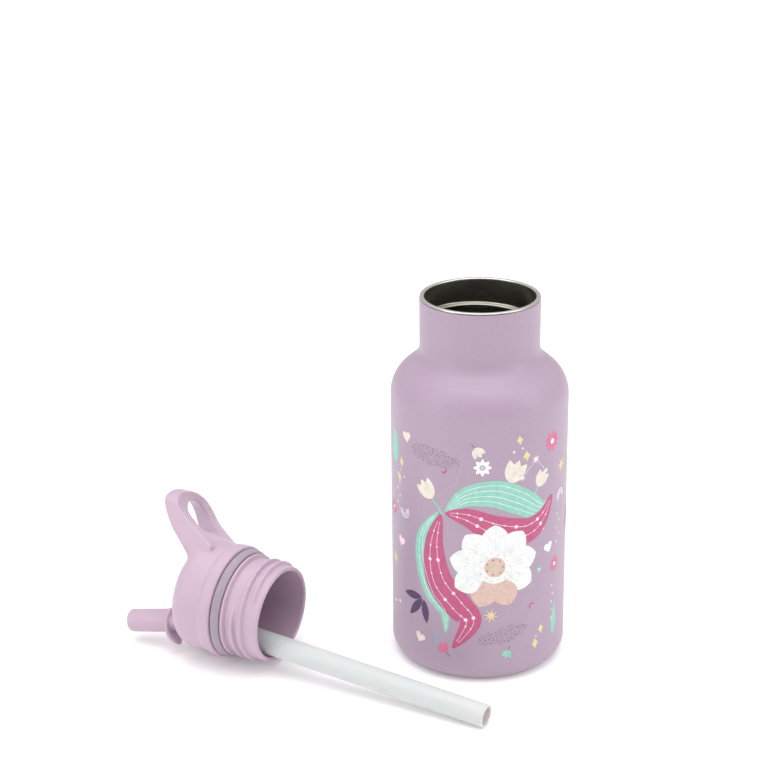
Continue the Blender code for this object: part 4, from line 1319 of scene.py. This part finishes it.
def make_print():
    """Every ink as one thin mesh on the body, the same on the back as on the front."""
    draw_main_motif()
    draw_small_motifs()
    for name, colour in INKS.items():
        shape = bmesh.new()
        for outline, layer in PRINT[name]:
            mesh = strip(outline, INK_LIFT + layer * INK_LAYER)
            shape.from_mesh(mesh)
            mesh.transform(Matrix.Rotation(pi, 4, "Z"))
            shape.from_mesh(mesh)
            bpy.data.meshes.remove(mesh)
        item = add_object("print_" + name, to_mesh("print_" + name, shape), ink(name, colour), 30)
        place(item, "bottle", None, "lilac_powder_coat")


# ==== floor, light and camera ====

def make_floor():
    """Large plain white table top, not part of the object."""
    shape = bmesh.new()
    bmesh.ops.create_grid(shape, x_segments=1, y_segments=1, size=FLOOR_HALF)
    material = principled("floor", FLOOR_WHITE, 0.6, Specular_IOR_Level=0.15, Emission_Strength=0.12,
                          Emission_Color=WHITE)
    floor = add_object("floor", to_mesh("floor", shape), material)
    floor.location.z = -0.0001


def make_world():
    """Soft white room whose light falls off towards the horizon; the camera sees plain white."""
    world = bpy.data.worlds.new("studio")
    bpy.context.scene.world = world
    world.use_nodes = True
    nodes = world.node_tree.nodes
    links = world.node_tree.links
    glow = nodes["Background"]
    glow.inputs["Strength"].default_value = ROOM_STRENGTH
    split = add_node(world, "ShaderNodeSeparateXYZ")
    links.new(add_node(world, "ShaderNodeTexCoord").outputs["Generated"], split.inputs["Vector"])
    links.new(ramp(world, split.outputs["Z"], HORIZON_GREY, WHITE[:3], 0.0, ZENITH_AT), glow.inputs["Color"])
    backdrop = add_node(world, "ShaderNodeBackground", Color=WHITE)
    choice = nodes.new("ShaderNodeMixShader")
    links.new(nodes.new("ShaderNodeLightPath").outputs["Is Camera Ray"], choice.inputs["Fac"])
    links.new(glow.outputs["Background"], choice.inputs[1])
    links.new(backdrop.outputs["Background"], choice.inputs[2])
    links.new(choice.outputs["Shader"], nodes["World Output"].inputs["Surface"])


def make_softbox(name, place, aim, width, height, power):
    """A rectangular area light at a place, pointing at another."""
    data = bpy.data.lights.new(name, "AREA")
    data.shape = "RECTANGLE"
    data.size = width
    data.size_y = height
    data.energy = power
    light = bpy.data.objects.new(name, data)
    bpy.context.scene.collection.objects.link(light)
    run = Vector(aim) - Vector(place)
    light.matrix_world = Matrix.Translation(place) @ run.to_track_quat("-Z", "Y").to_matrix().to_4x4()


def make_camera():
    """Camera with the viewing angle and the framing that the object is seen at."""
    data = bpy.data.cameras.new("camera")
    data.lens = CAMERA_LENS
    data.sensor_width = CAMERA_SENSOR
    camera = bpy.data.objects.new("camera", data)
    bpy.context.scene.collection.objects.link(camera)
    look = Matrix.Rotation(pi / 2 - CAMERA_PITCH, 4, "X")
    camera.matrix_world = Matrix.Translation(CAMERA_PLACE) @ look @ Matrix.Rotation(CAMERA_ROLL, 4, "Z")
    bpy.context.scene.camera = camera


make_outer_shell()
make_inner_liner()
make_base()
make_lid_cap()
make_plug()
make_seal()
make_flip_spout()
make_pins()
make_gasket()
make_connector()
make_vent()
make_straw()
make_print()
make_floor()
make_world()
for softbox in SOFTBOXES:
    make_softbox(*softbox)
make_camera()
bpy.context.scene.view_settings.view_transform = "Standard"
